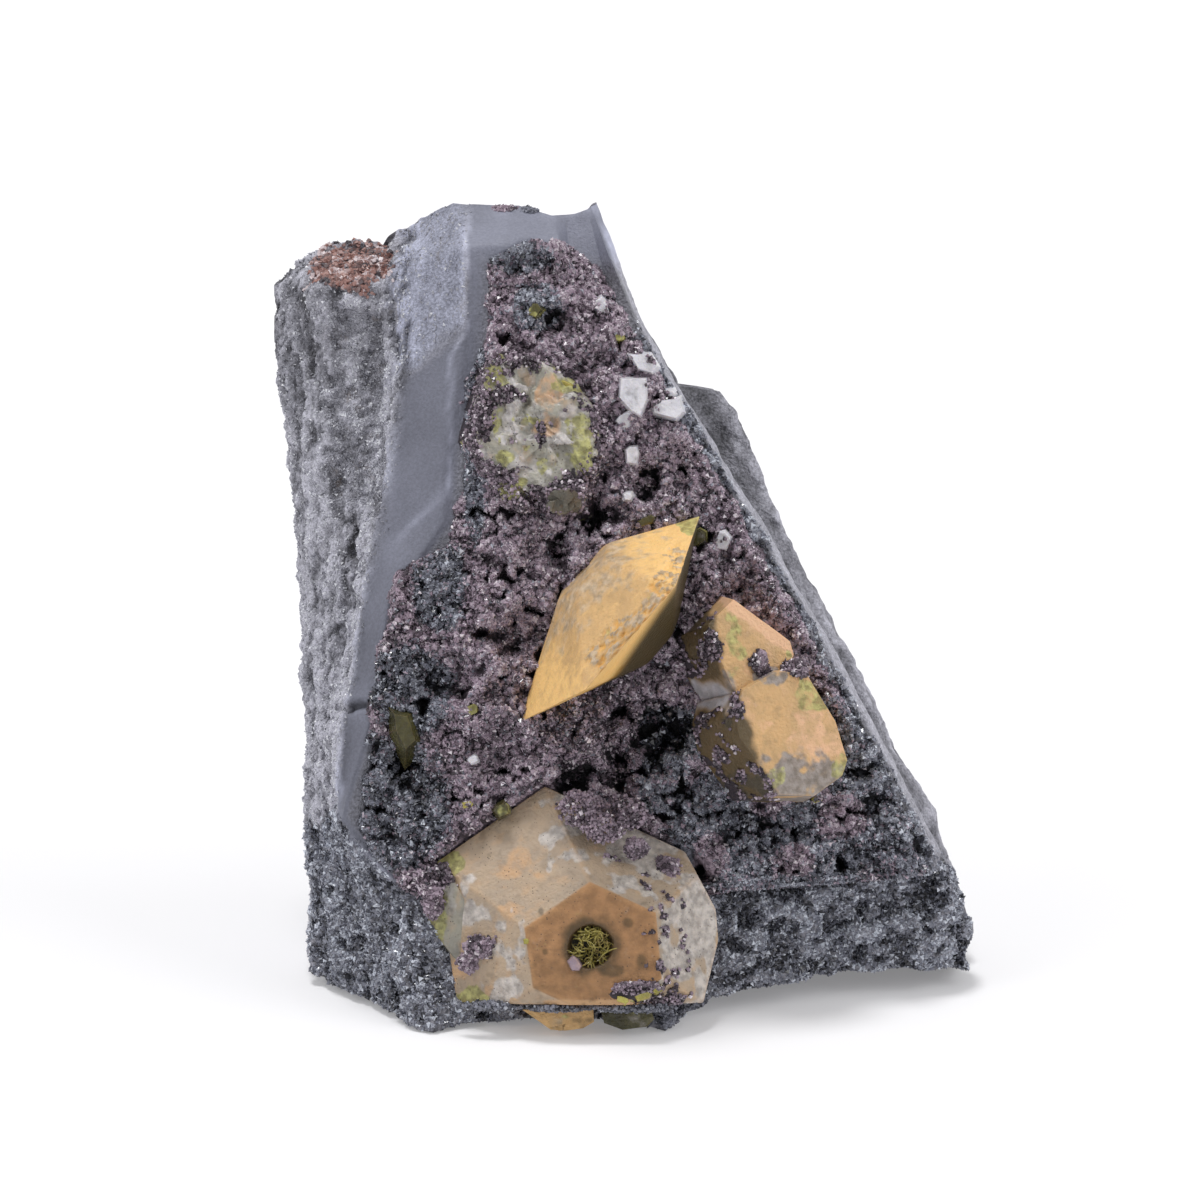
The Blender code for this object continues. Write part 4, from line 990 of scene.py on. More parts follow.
def hexagon(faces, share):
    """Corners of the hexagon whose sides lie at girdle + (cap - girdle) times share."""
    angle = np.radians([face[0] for face in faces])
    distance = np.array([face[2] + (face[1] - face[2]) * share for face in faces])
    out = np.stack([np.cos(angle), np.sin(angle)], axis=-1)
    pairs = np.stack([np.roll(out, 1, axis=0), out], axis=1)
    ends = np.stack([np.roll(distance, 1), distance], axis=1)
    return np.linalg.solve(pairs, ends[..., None])[..., 0]


def closing_steps(count):
    """Steps from 0 to 1 that lie close together at both ends."""
    return 0.5 - 0.5 * np.cos(np.pi * np.arange(count) / count)


def string_sides(corners, per_side):
    """Points along each side of a ring of corners, closer together near the corners."""
    step = closing_steps(per_side)[None, :, None]
    after = np.roll(corners, -1, axis=0)
    return (corners[:, None, :] * (1.0 - step) + after[:, None, :] * step).reshape(-1, corners.shape[-1])


def loft(stations, per_side):
    """Rows of points through a list of (corners, rows to the next station); a single point is a pole."""
    rings = [string_sides(corners, per_side) for corners, rows in stations]
    out = []
    for (corners, rows), here, after in zip(stations, rings, rings[1:]):
        step = closing_steps(rows)[:, None, None]
        out.append(here[None] * (1.0 - step) + after[None] * step)
    out.append(rings[-1][None])
    return np.concatenate(out)


def worn(points, middle, planes, sharpness):
    """Pull the edges in: along each ray from the middle, a soft minimum of the planes' distances.

    The soft minimum is (sum of reach ** -sharpness) ** (-1 / sharpness) over the planes ahead.
    """
    ray = points - middle
    length = np.linalg.norm(ray, axis=-1, keepdims=True)
    ray = ray / np.maximum(length, 1e-9)
    facing = np.stack([ray @ direction for direction, distance in planes], axis=-1)
    distance = np.array([distance for direction, distance in planes])
    inverse = np.maximum(facing, 0.0) / distance
    peak = inverse.max(axis=-1, keepdims=True)
    power = np.broadcast_to(sharpness, peak[..., 0].shape)
    total = ((inverse / peak) ** power[..., None]).sum(axis=-1) ** (1.0 / power)
    reach = 1.0 / (peak[..., 0] * total)
    ordered = np.sort(inverse, axis=-1)
    nearness = ordered[..., -2] / ordered[..., -1]
    return middle + ray * reach[..., None], ease(nearness, 0.965, 0.998)


def closed_sleeve(points):
    """One closed body from lofted rows whose first and last rows are poles."""
    rows, columns = points.shape[:2]
    inner = points[1:-1].reshape(-1, 3)
    count = len(inner)
    vertices = np.concatenate([inner, points[:1, 0], points[-1:, 0]])
    faces = sleeve_faces(rows - 2, columns)
    start = fan_faces(np.arange(columns)[::-1], count)
    end = fan_faces(np.arange((rows - 3) * columns, (rows - 2) * columns), count + 1)
    return vertices, [faces, np.concatenate([start, end])]


def pole_values(values):
    """A mask for the same points in the same order."""
    return np.concatenate([values[1:-1].ravel(), values[:1, 0], values[-1:, 0]])


def lens_planes(axis, start, faces, height, side):
    """Planes of one half of a lens: each face from its girdle line up to its cap line, and the cap."""
    across = np.cross(axis, start)
    planes = []
    for azimuth, cap, girdle in faces:
        angle = math.radians(azimuth)
        out = start * math.cos(angle) + across * math.sin(angle)
        direction = unit(height * out + (girdle - cap) * side * axis)
        planes.append((direction, float(direction @ (girdle * out))))
    planes.append((side * axis, height))
    return planes


def lens_rows(middle, axis, start, above, below, heights, rows, per_side, pole=(0.0, 0.0)):
    """A lens as rows from the middle of its front cap round its rim to the middle of its back cap."""
    across = np.cross(axis, start)

    def lifted(flat, height):
        """Plan corners turned into the lens's own place and raised along its axis."""
        return middle + flat[:, :1] * start + flat[:, 1:] * across + height * axis

    corners = len(above)
    front_pole = np.repeat(np.array([pole]), corners, axis=0)
    back_pole = np.zeros((corners, 2))
    stations = [(lifted(front_pole, heights[0]), rows[0]), (lifted(hexagon(above, 1.0), heights[0]), rows[1]),
                (lifted(hexagon(above, 0.0), 0.0), rows[2]), (lifted(hexagon(below, 1.0), -heights[1]), rows[3]),
                (lifted(back_pole, -heights[1]), 0)]
    return loft(stations, per_side)


# %% [markdown]
# The big lens
#
# The largest crystal faces the viewer. Its cap is a crisp orange-brown hexagon with a round pit in it,
# its faces are tan and peppered with fine holes, and it is broken off level at the bottom. Grey dust
# lies on its left and right, and thin yellow-green rims show where the dust has rubbed off.

# %% Shape the big lens
LOWER_CENTRE = np.array([-2.0, 6.7, 1.0])
LOWER_HALF_THICKNESS = 4.0
LOWER_FACES = [(5.0, 4.8, 9.4), (65.0, 4.2, 9.2), (125.0, 4.0, 11.8), (188.0, 4.8, 10.8),
               (245.0, 4.6, 10.5), (305.0, 4.8, 10.0)]
LOWER_BREAK = 4.35
LOWER_BACK = 3.2
CAP_PIT = (-2.2, 6.7, 1.75, 1.1)
FACING = np.array([0.0, 0.0, -1.0])
RIGHTWARD = np.array([1.0, 0.0, 0.0])

turned_faces = [(-azimuth, cap, girdle) for azimuth, cap, girdle in LOWER_FACES][::-1]
lower_planes = lens_planes(FACING, RIGHTWARD, turned_faces, LOWER_HALF_THICKNESS, 1.0)
lower_planes += lens_planes(FACING, RIGHTWARD, turned_faces, LOWER_BACK, -1.0)
lower_planes.append((np.array([0.0, -1.0, 0.0]), LOWER_BREAK))
CHIPPED_CORNERS = [((0.88, 0.47, 0.0), 9.35), ((0.97, -0.24, 0.0), 9.05), ((0.72, -0.69, 0.0), 8.9)]
lower_planes += [(unit(direction), distance) for direction, distance in CHIPPED_CORNERS]
lower = lens_rows(LOWER_CENTRE, FACING, RIGHTWARD, turned_faces, turned_faces,
                  (LOWER_HALF_THICKNESS, LOWER_BACK), (70, 80, 16, 6), 60,
                  (CAP_PIT[0] - LOWER_CENTRE[0], LOWER_CENTRE[1] - CAP_PIT[1]))
lower, lower_edge = worn(lower, LOWER_CENTRE, lower_planes, 420.0)
lower_x, lower_h, lower_d = lower[..., 0], lower[..., 1], lower[..., 2]
cap_share = ease(LOWER_CENTRE[2] - LOWER_HALF_THICKNESS + 0.10 - lower_d, 0.0, 0.08)
pit_away = np.hypot(lower_x - CAP_PIT[0], lower_h - CAP_PIT[1]) + 0.16 * wave(lower, 0.9, 111)
in_front = lower_d < LOWER_CENTRE[2] - 2.0
pit_share = (1.0 - ease(pit_away, CAP_PIT[2] - 0.45, CAP_PIT[2])) * in_front
pinholes = ease(wave(lower, 0.40, 112), 0.55, 0.8) * ease(wave(lower, 2.4, 114), -0.5, 0.2)
swell = 0.05 * fractal(lower, 2.4, 3, 113)
lower = lower.copy()
lower[..., 2] += pit_share * CAP_PIT[3] * (0.85 + 0.25 * wave(lower, 0.6, 115))
lower[..., 2] += (0.05 * pinholes - swell) * in_front * (1.0 - pit_share)
print("the big lens is", round(float(np.ptp(lower_x)), 1), "mm wide")


# %% Marks on the big lens
def ragged_spots(points, spots, seed, rag=0.75):
    """Several oval spots as one mask whose rim is torn by noise of four sizes."""
    total = np.full(points.shape[:-1], -9.0)
    for centre_x, centre_h, radius_x, radius_h in spots:
        away = np.hypot((points[..., 0] - centre_x) / radius_x, (points[..., 1] - centre_h) / radius_h)
        total = np.maximum(total, 1.0 - away)
    torn = fractal(points, 1.8, 4, seed)
    return ease(total + rag * torn, 0.10, 0.55)


LOWER_HAZE = [(-3.4, 15.6, 3.0, 3.2), (-11.3, 9.0, 2.6, 2.0), (1.4, 13.4, 5.6, 2.8), (-9.0, 6.3, 2.4, 3.0),
              (5.2, 7.6, 4.2, 8.0), (-8.5, 3.6, 2.4, 1.8), (-12.0, 11.0, 1.8, 1.6)]
LOWER_GREEN = [(-12.6, 12.9, 2.2, 1.0), (-13.6, 7.6, 1.0, 1.8), (-11.2, 2.9, 1.4, 1.0), (0.6, 3.2, 2.2, 0.7)]
LOWER_ORANGE = [(-12.3, 4.8, 1.2, 1.2), (-9.3, 3.0, 2.4, 0.9), (-8.0, 12.6, 2.4, 1.6), (-8.2, 9.4, 1.6, 1.2)]
LOWER_DRUSE = [(-3.4, 16.4, 1.9, 1.4), (-1.4, 15.2, 1.8, 1.1), (-0.4, 13.9, 0.9, 0.9), (-10.6, 6.4, 1.9, 1.1),
               (-13.9, 9.9, 0.8, 2.0), (4.4, 2.8, 1.9, 0.8), (3.6, 12.9, 1.4, 1.1), (1.2, 3.3, 2.4, 0.8)]
CAP_SPOTS = [(0.6, 8.5, 0.55, 0.5), (-5.6, 6.3, 0.4, 0.4), (-0.6, 4.9, 1.3, 0.6), (-5.9, 9.3, 0.3, 0.4),
             (1.6, 5.6, 0.7, 0.9)]
torn_pit = pit_away + 0.35 * fractal(lower, 0.9, 3, 129)
flecks = ease(fractal(lower, 0.60, 4, 130) + 0.25 * spot(lower_x, lower_h, 4.6, 5.4, 3.4, 5.0), 0.56, 0.68)
flecks = flecks * ease(lower_x + 0.2 * lower_h, 2.6, 3.8)
off_cap = 1.0 - cap_share
lower_masks = {
    "cap": cap_share,
    "pit": np.maximum(pit_share, (1.0 - ease(torn_pit, CAP_PIT[2] - 0.1, CAP_PIT[2] + 0.9)) * 0.8 * in_front),
    "haze": ragged_spots(lower, LOWER_HAZE, 121) * (1.0 - 0.9 * cap_share),
    "green": ragged_spots(lower, LOWER_GREEN, 123) * off_cap,
    "orange": np.maximum(ragged_spots(lower, LOWER_ORANGE, 125) * off_cap * 0.6,
                         (1.0 - ease(lower_h, 2.5, 3.0)) * between(lower_x, -5.8, 1.4, 0.5)),
    "rim": lower_edge,
    # Dark blotches and spots on the cap, and the cap darker towards the bottom.
    "stain_and_shade": np.maximum(ease(fractal(lower, 0.9, 4, 127), 0.55, 1.0) * 0.30,
                        ragged_spots(lower, CAP_SPOTS, 126, 0.3) * 0.55)
             + 0.14 * cap_share * (1.0 - ease(lower_h + fractal(lower, 1.5, 3, 122), 3.5, 6.5)),
    "druse": np.maximum(ragged_spots(lower, LOWER_DRUSE, 128, 0.7), flecks) * in_front,
}


# %% [markdown]
# Sturmanite's finish
#
# Sturmanite is a soft, waxy mineral. Its skin is satin rather than glassy, its colour goes from tan to
# ochre and olive, and grey dust and dark stains dirty it. Painted shade darkens its pinholes, its pit and
# its sides turned from the light, and a painted highlight lightens its edges. One function writes the
# finish from a pair of body colours, and the marks come from the masks of each crystal.

# %% Crystal finish
def crystal_finish(name, light, deep, cap=(0.29, 0.155, 0.070), roughness=0.42, pinhole=0.12,
                   haze=((0.32, 0.295, 0.28), (0.68, 0.63, 0.59)), orange=(0.60, 0.37, 0.20)):
    """Satin body, cap colour, dust, yellow-green and orange marks, a painted highlight on the edges, dark stains and
    painted shading, painted shading in the pit and pinholes, and druse ground.
    """
    finish, tree, shader = new_finish(name, roughness, 0.45)
    shader.inputs["Subsurface Weight"].default_value = 0.12
    shader.inputs["Subsurface Radius"].default_value = (0.0009, 0.0006, 0.0003)
    colour = mixed(tree, ranged(tree, cloud(tree, 2.6, 8.0), 0.30, 0.70), solid(deep), solid(light))
    mottle = ranged(tree, cloud(tree, 0.8, 10.0), 0.46, 0.72)
    colour = mixed(tree, maths(tree, "MULTIPLY", mottle, 0.38), colour, solid(tuple(0.62 * part for part in deep)))
    scrape = ranged(tree, cloud(tree, 1.3, 10.0, (1.0, 2.2, 0.6)), 0.52, 0.72)
    colour = mixed(tree, maths(tree, "MULTIPLY", scrape, 0.35), colour, solid(orange))
    cap_colour = mixed(tree, ranged(tree, cloud(tree, 0.8, 10.0), 0.3, 0.7), solid(cap),
                       solid(tuple(1.5 * part for part in cap)))
    colour = mixed(tree, mask(tree, "cap"), colour, cap_colour)
    colour = mixed(tree, maths(tree, "MULTIPLY", torn(tree, "orange", 0.9, 0.15, 0.85), 0.85), colour, solid(orange))
    haze_colour = mixed(tree, ranged(tree, cloud(tree, 0.6, 10.0), 0.3, 0.7), solid(haze[0]), solid(haze[1]))
    colour = mixed(tree, maths(tree, "MULTIPLY", torn(tree, "haze", 0.9, 0.18, 0.92), 0.85), colour, haze_colour)
    olive_tint = mixed(tree, ranged(tree, cloud(tree, 0.5, 6.0), 0.35, 0.65), solid((0.24, 0.225, 0.075)),
                       solid((0.56, 0.54, 0.20)))
    colour = mixed(tree, maths(tree, "MULTIPLY", torn(tree, "green", 0.7, 0.25, 0.75), 0.85), colour, olive_tint)
    # Painted highlight: the edges lighter tan.
    rim = maths(tree, "MULTIPLY", mask(tree, "rim"), 0.16)
    colour = mixed(tree, rim, colour, solid((0.70, 0.42, 0.20)))
    # Dark stains, and painted shade on sides turned from the light.
    colour = mixed(tree, mask(tree, "stain_and_shade"), colour, solid((0.045, 0.036, 0.016)))
    # Painted shade in the cap's pit and round its rim.
    colour = mixed(tree, mask(tree, "pit"), colour, solid((0.030, 0.027, 0.012)))
    # Painted shade in the pinholes: dark specks.
    dots = maths(tree, "LESS_THAN", specks(tree, 0.30), pinhole)
    dots = maths(tree, "MULTIPLY", dots, ranged(tree, cloud(tree, 1.8, 3.0), 0.40, 0.60))
    colour = mixed(tree, maths(tree, "MULTIPLY", dots, 0.8), colour, solid((0.06, 0.045, 0.035)))
    colour = mixed(tree, torn(tree, "druse", 0.5), colour, solid((0.040, 0.031, 0.038)))
    plug(tree, shader.inputs["Base Color"], colour)
    add_bump(tree, shader, maths(tree, "SUBTRACT", cloud(tree, 0.25, 8.0), maths(tree, "MULTIPLY", dots, 0.6)), 0.12)
    return finish


tan = crystal_finish("tan_crystal", (0.49, 0.365, 0.25), (0.40, 0.315, 0.235), pinhole=0.16)
ochre = crystal_finish("ochre_crystal", (0.70, 0.44, 0.19), (0.57, 0.36, 0.165), cap=(0.62, 0.31, 0.045),
                       pinhole=0.08, haze=((0.30, 0.235, 0.17), (0.63, 0.50, 0.36)), orange=(0.95, 0.60, 0.23))
blush = crystal_finish("blush_crystal", (0.69, 0.43, 0.20), (0.56, 0.365, 0.18), cap=(0.34, 0.325, 0.345), pinhole=0.09,
                       haze=((0.13, 0.125, 0.125), (0.34, 0.32, 0.32)), orange=(0.86, 0.53, 0.33))
lower_vertices, lower_faces = closed_sleeve(lower)
lower_piece = make_piece("big_lens", lower_vertices, lower_faces,
                         {key: pole_values(values) for key, values in lower_masks.items()},
                         tan, ["lower_crystal"])
druse_ground = [(lower, lower_masks["druse"])]

# %% [markdown]
# The standing lens
#
# The second lens stands out of the druse and is seen almost edge-on, so its sharp rim runs across it
# like a blade from tip to tip. The face above is tan and smooth, with a strip of broken, sugary stone
# along the rim. The face below is painted as light and shade: bright ochre by the rim, falling off into
# painted deep brown shade.

# %% Shape the standing lens
MIDDLE_CENTRE = np.array([-0.8, 31.1, -0.3])
MIDDLE_AXIS_TURN = math.radians(138.9)
MIDDLE_TIP_FORWARD = math.radians(13.0)
MIDDLE_HALF_THICKNESS = 3.9
MIDDLE_ABOVE = [(30.0, 3.8, 8.9), (90.0, 2.4, 8.9), (150.0, 1.2, 8.9), (210.0, 1.4, 8.9),
                (270.0, 2.4, 8.9), (330.0, 3.8, 8.9)]
MIDDLE_BELOW = [(30.0, 3.2, 8.9), (90.0, 2.6, 8.9), (150.0, 1.8, 8.9), (210.0, 1.8, 8.9),
                (270.0, 2.6, 8.9), (330.0, 3.2, 8.9)]

middle_axis = np.array([math.cos(MIDDLE_AXIS_TURN) * math.cos(MIDDLE_TIP_FORWARD),
                        math.sin(MIDDLE_AXIS_TURN) * math.cos(MIDDLE_TIP_FORWARD),
                        -math.sin(MIDDLE_TIP_FORWARD)])
middle_start = unit((math.sin(MIDDLE_AXIS_TURN), -math.cos(MIDDLE_AXIS_TURN), 0.0))
middle_planes = lens_planes(middle_axis, middle_start, MIDDLE_ABOVE, MIDDLE_HALF_THICKNESS, 1.0)
middle_planes += lens_planes(middle_axis, middle_start, MIDDLE_BELOW, MIDDLE_HALF_THICKNESS, -1.0)
middle = lens_rows(MIDDLE_CENTRE, middle_axis, middle_start, MIDDLE_ABOVE, MIDDLE_BELOW,
                   (MIDDLE_HALF_THICKNESS, MIDDLE_HALF_THICKNESS), (14, 80, 80, 14), 60)
rest_height = (middle - MIDDLE_CENTRE) @ middle_axis
crispness = 60.0 + 340.0 * (1.0 - ease(np.abs(rest_height), 0.2, 0.9))
middle, middle_edge = worn(middle, MIDDLE_CENTRE, middle_planes, crispness)
height_on_axis = (middle - MIDDLE_CENTRE) @ middle_axis
along_rim = (middle - MIDDLE_CENTRE) @ middle_start
above_rim = ease(height_on_axis, -0.05, 0.05)
torn_height = height_on_axis + 0.45 * fractal(middle, 1.1, 3, 133)
strip = above_rim * (1.0 - ease(torn_height, 0.75, 1.35)) * ease(along_rim, -3.9, -3.0)
strip = strip * (1.0 - ease(along_rim, 7.2, 8.0))
near, own = seeds_near(middle, 0.40, 131)
sugar = 0.26 * (0.45 - near) + 0.16 * own + 0.24 * fractal(middle, 0.7, 4, 135)
outward = unit((0.0, 0.0, -1.0)) * 0.6 + middle_axis * 0.4
middle = middle + (strip * (sugar - 0.12) + 0.05 * fractal(middle, 2.2, 4, 137))[..., None] * outward
striped = middle - height_on_axis[..., None] * middle_axis * 0.75
empty_mask = np.zeros(middle.shape[:2])
low_side = ease(-height_on_axis, -0.02, 0.15)
# The lower face is painted as light and shade: orange by the rim, the cap's deep ochre below that and near-black shade
# at its lower right. In the strip, raised bits are pale and creases get the cap's ochre as painted shade.
middle_masks = {
    "cap": np.maximum(strip * ease(-sugar, 0.04, 0.2) * 0.6, low_side * ease(-height_on_axis, 0.2, 0.8)),
    "pit": empty_mask,
    "haze": np.maximum(ease(height_on_axis + 1.1 * fractal(striped, 0.9, 3, 139), 1.2, 3.8) * 0.65,
                       strip * ease(sugar, -0.10, 0.14) * 0.9),
    "green": np.maximum(ragged_spots(middle, [(5.6, 39.0, 0.9, 0.9), (5.0, 38.2, 1.2, 0.8)], 141),
                        strip * ease(wave(middle, 0.8, 143), 0.3, 0.8) * 0.35),
    "orange": np.maximum(low_side * (1.0 - ease(-height_on_axis, 0.9, 2.4)),
                         np.maximum(ease(-along_rim, 1.0, 7.0) * 0.7, ease(along_rim, 2.5, 6.0) * 0.9)),
    "rim": middle_edge,
    # Painted shade on the lower face, deepest at its lower right.
    "stain_and_shade": low_side * ease(-height_on_axis + 0.20 * along_rim, 0.4, 1.8) * 0.97,
    "druse": empty_mask,
}
middle_vertices, middle_faces = closed_sleeve(middle)
middle_piece = make_piece("standing_lens", middle_vertices, middle_faces,
                          {key: pole_values(values) for key, values in middle_masks.items()},
                          ochre, ["middle_crystal"])

# %% [markdown]
# Crystals grown together
#
# The other crystals are blocks with one flat front face and sides that splay. Each lobe is lofted from
# the middle of its front, over the front's corners and the back's corners, to the middle of its back.
# A corner is where two side planes meet the front plane, found by solving the three together.

# %% Lobes
def lobe_planes(outline, front, slopes, splay, thickness):
    """Middle and planes of a lobe: the front, the parallel back, then one plane for each side."""
    points = np.array(outline)
    mean = points.mean(axis=0)
    middle = np.array([mean[0], mean[1], front + 0.5 * thickness])
    facing = unit((slopes[0], slopes[1], -1.0))
    on_face = np.array([mean[0], mean[1], front])
    planes = [(facing, float(facing @ (on_face - middle))), (-facing, 0.5 * thickness)]
    for here, there, angle in zip(points, np.roll(points, -1, axis=0), splay):
        along = unit(there - here)
        out = np.array([-along[1], along[0]])
        tilt = math.radians(angle)
        direction = np.array([out[0] * math.cos(tilt), out[1] * math.cos(tilt), -math.sin(tilt)])
        depth = front + slopes[0] * (here[0] - mean[0]) + slopes[1] * (here[1] - mean[1])
        corner = np.array([here[0], here[1], depth])
        planes.append((direction, float(direction @ (corner - middle))))
    return middle, planes


def lobe_corners(middle, planes, level):
    """Corners where each side plane and the one before it meet the front (0) or back (1) plane."""
    sides = np.array([direction for direction, distance in planes[2:]])
    reach = np.array([distance for direction, distance in planes[2:]])
    flat_direction, flat_distance = planes[level]
    flat = np.repeat(flat_direction[None], len(sides), axis=0)
    left = np.stack([np.roll(sides, 1, axis=0), sides, flat], axis=1)
    right = np.stack([np.roll(reach, 1), reach, np.full(len(reach), flat_distance)], axis=1)
    return middle + np.linalg.solve(left, right[..., None])[..., 0]


def lobe_rows(lobe, per_side, rows, sharpness):
    """One lobe as lofted rows with worn edges, and how near each point is to an edge."""
    middle, planes = lobe_planes(**lobe)
    front = lobe_corners(middle, planes, 0)
    back = lobe_corners(middle, planes, 1)
    front_pole = np.repeat(front.mean(axis=0)[None], len(front), axis=0)
    back_pole = np.repeat(back.mean(axis=0)[None], len(back), axis=0)
    stations = [(front_pole, rows[0]), (front, rows[1]), (back, rows[2]), (back_pole, 0)]
    return worn(loft(stations, per_side), middle, planes, sharpness)


def make_lobed(name, lobes, per_side, rows, sharpness, relief, paint, finish, nodes):
    """Lobes grown together as one piece: relief(points) pushes them out, paint(points, edge) marks them."""
    vertices, faces, masks, first = [], [], [], 0
    for lobe in lobes:
        points, edge = lobe_rows(lobe, per_side, rows, sharpness)
        centre = points.reshape(-1, 3).mean(axis=0)
        ray = (points - centre) * np.array([0.4, 0.4, 2.0])
        ray = ray / np.maximum(np.linalg.norm(ray, axis=-1, keepdims=True), 1e-9)
        points = points + ray * relief(points)[..., None]
        found, blocks = closed_sleeve(points)
        vertices.append(found)
        faces += [block + first for block in blocks]
        marks = paint(points, edge)
        druse_ground.append((points, marks["druse"]))
        masks.append({key: pole_values(values) for key, values in marks.items()})
        first += len(found)
    joined = {key: np.concatenate([part[key] for part in masks]) for key in masks[0]}
    return make_piece(name, np.concatenate(vertices), faces, joined, finish, nodes)


# %% [markdown]
# The right crystal
#
# Two lobes overlap here. The upper one has an orange top edge and a face that turns yellow-green. The
# lower one is a broad orange-tan face that fades to grey below. Their left sides are in shade, painted
# dark olive-brown as painted shade, and spots of druse sit where the two meet.

# %% Make the right crystal
RIGHT_LOBES = [
    dict(outline=[(8.6, 32.5), (12.7, 29.6), (13.0, 28.5), (12.2, 25.6), (9.0, 24.6), (6.7, 29.2),
                  (6.6, 30.8)],
         front=-2.6, slopes=(0.42, 0.10), splay=(-4.0, -4.0, 0.0, 0.0, 34.0, 30.0, 10.0),
         thickness=5.0),
    dict(outline=[(9.4, 26.0), (11.8, 27.2), (13.9, 27.1), (16.0, 23.7), (17.0, 20.6), (16.6, 19.4),
                  (14.5, 17.9), (12.0, 17.9), (9.2, 20.9), (8.5, 23.6)],
         front=-2.9, slopes=(0.38, 0.03),
         splay=(8.0, 5.0, -4.0, -4.0, -4.0, 0.0, 8.0, 36.0, 38.0, 34.0), thickness=5.2),
]


RIGHT_SHADE_LINE = [(17.5, 11.6), (18.3, 11.2), (25.8, 8.5), (26.6, 7.7), (31.4, 6.6)]


def right_paint(points, edge):
    """Orange on the top edge, yellow-green below it, grey haze at the foot and painted shading on the left side."""
    x, h = points[..., 0], points[..., 1]
    torn = 0.45 * fractal(points, 1.2, 3, 157)
    top_edge = 1.0 - ease(32.9 - h - 0.72 * (x - 8.6) + 0.5 * torn, 1.0, 2.0)
    left_side = 1.0 - ease(x + torn, np.interp(h, *zip(*RIGHT_SHADE_LINE)) - 0.2,
                           np.interp(h, *zip(*RIGHT_SHADE_LINE)) + 0.4)
    haze = ragged_spots(points, [(12.5, 18.7, 5.0, 3.0), (7.6, 25.5, 2.6, 1.8), (14.6, 19.2, 2.8, 2.0),
                                 (11.0, 26.9, 1.4, 1.0)], 151)
    cleaved = ragged_spots(points, [(6.9, 25.4, 2.6, 1.5)], 152, 0.4)
    green = ragged_spots(points, [(14.0, 25.2, 1.6, 1.2), (8.2, 29.4, 1.4, 2.6), (16.9, 20.0, 0.8, 1.6),
                                  (11.6, 19.2, 1.1, 1.1), (12.6, 28.6, 0.7, 0.7), (15.0, 26.2, 0.8, 1.1)], 153)
    druse = ragged_spots(points, [(10.4, 27.8, 0.7, 1.1), (13.2, 27.4, 0.9, 0.8)], 159, 0.6)
    druse = np.maximum(druse, left_side * ease(0.22 + fractal(points, 1.3, 4, 158), 0.2, 0.5)) * (1.0 - cleaved)
    # An orange spot in the middle of the lower lobe.
    orange_spot = ragged_spots(points, [(14.8, 22.4, 3.4, 3.4)], 149) * 0.5
    empty = np.zeros_like(x)
    return dict(cap=cleaved, pit=empty, haze=haze * (1.0 - cleaved), green=green * 0.6, rim=edge,
                orange=np.maximum(np.clip(top_edge, 0, 1), orange_spot),
                # Painted shade on the left side, turned from the light.
                stain_and_shade=left_side * (1.0 - cleaved) * 0.88, druse=druse)


def gentle(points):
    """A nearly flat face with a faint swell, in millimetres."""
    return 0.04 * fractal(points, 2.0, 3, 155)


right_piece = make_lobed("right_crystal_faces", RIGHT_LOBES, 26, (46, 24, 6), 220.0, gentle, right_paint,
                         blush, ["right_crystal"])

# %% [markdown]
# The coated crystal
#
# The upper crystal hides under a grey film of tiny grains. Only here and there does it show its
# yellow-green, with orange spots and one long green blade. It is shaped like the others, and a noise
# of flat-topped cells breaks its front into small facets.

# %% Make the upper crystal
UPPER_LOBES = [
    dict(outline=[(-10.7, 44.6), (-9.6, 49.6), (-7.4, 50.8), (-5.4, 49.8), (-2.2, 46.4), (-1.8, 43.6),
                  (-2.6, 41.5), (-5.4, 40.2), (-9.2, 41.2)],
         front=-1.2, slopes=(0.05, 0.03), splay=(24.0,) * 9, thickness=3.4),
    dict(outline=[(-5.6, 40.6), (-2.8, 41.0), (-3.0, 39.5), (-4.5, 38.9), (-5.4, 39.3)],
         front=-1.4, slopes=(0.0, -0.15), splay=(15.0,) * 5, thickness=4.0),
    dict(outline=[(-9.3, 41.2), (-8.8, 41.9), (-8.0, 41.3), (-6.9, 39.5), (-7.4, 39.4), (-8.6, 40.1)],
         front=-1.5, slopes=(0.1, -0.1), splay=(10.0,) * 6, thickness=3.8),
]


def coated_relief(points):
    """Facets from scattered cells of different heights, with grain on top."""
    flat = points * np.array([1.0, 1.0, 0.3])
    near, own = seeds_near(flat, 2.0, 161)
    tilt = own * np.sin(1.7 * flat[..., 0] + 5.0 * own) + (1.0 - own) * 0.5 * np.sin(1.3 * flat[..., 1] + 9.0 * own)
    fine, fine_own = seeds_near(flat, 0.7, 165)
    return 0.30 * own + 0.22 * tilt + 0.14 * (0.6 - near) + 0.14 * fine_own + 0.07 * fractal(points, 0.8, 3, 169)


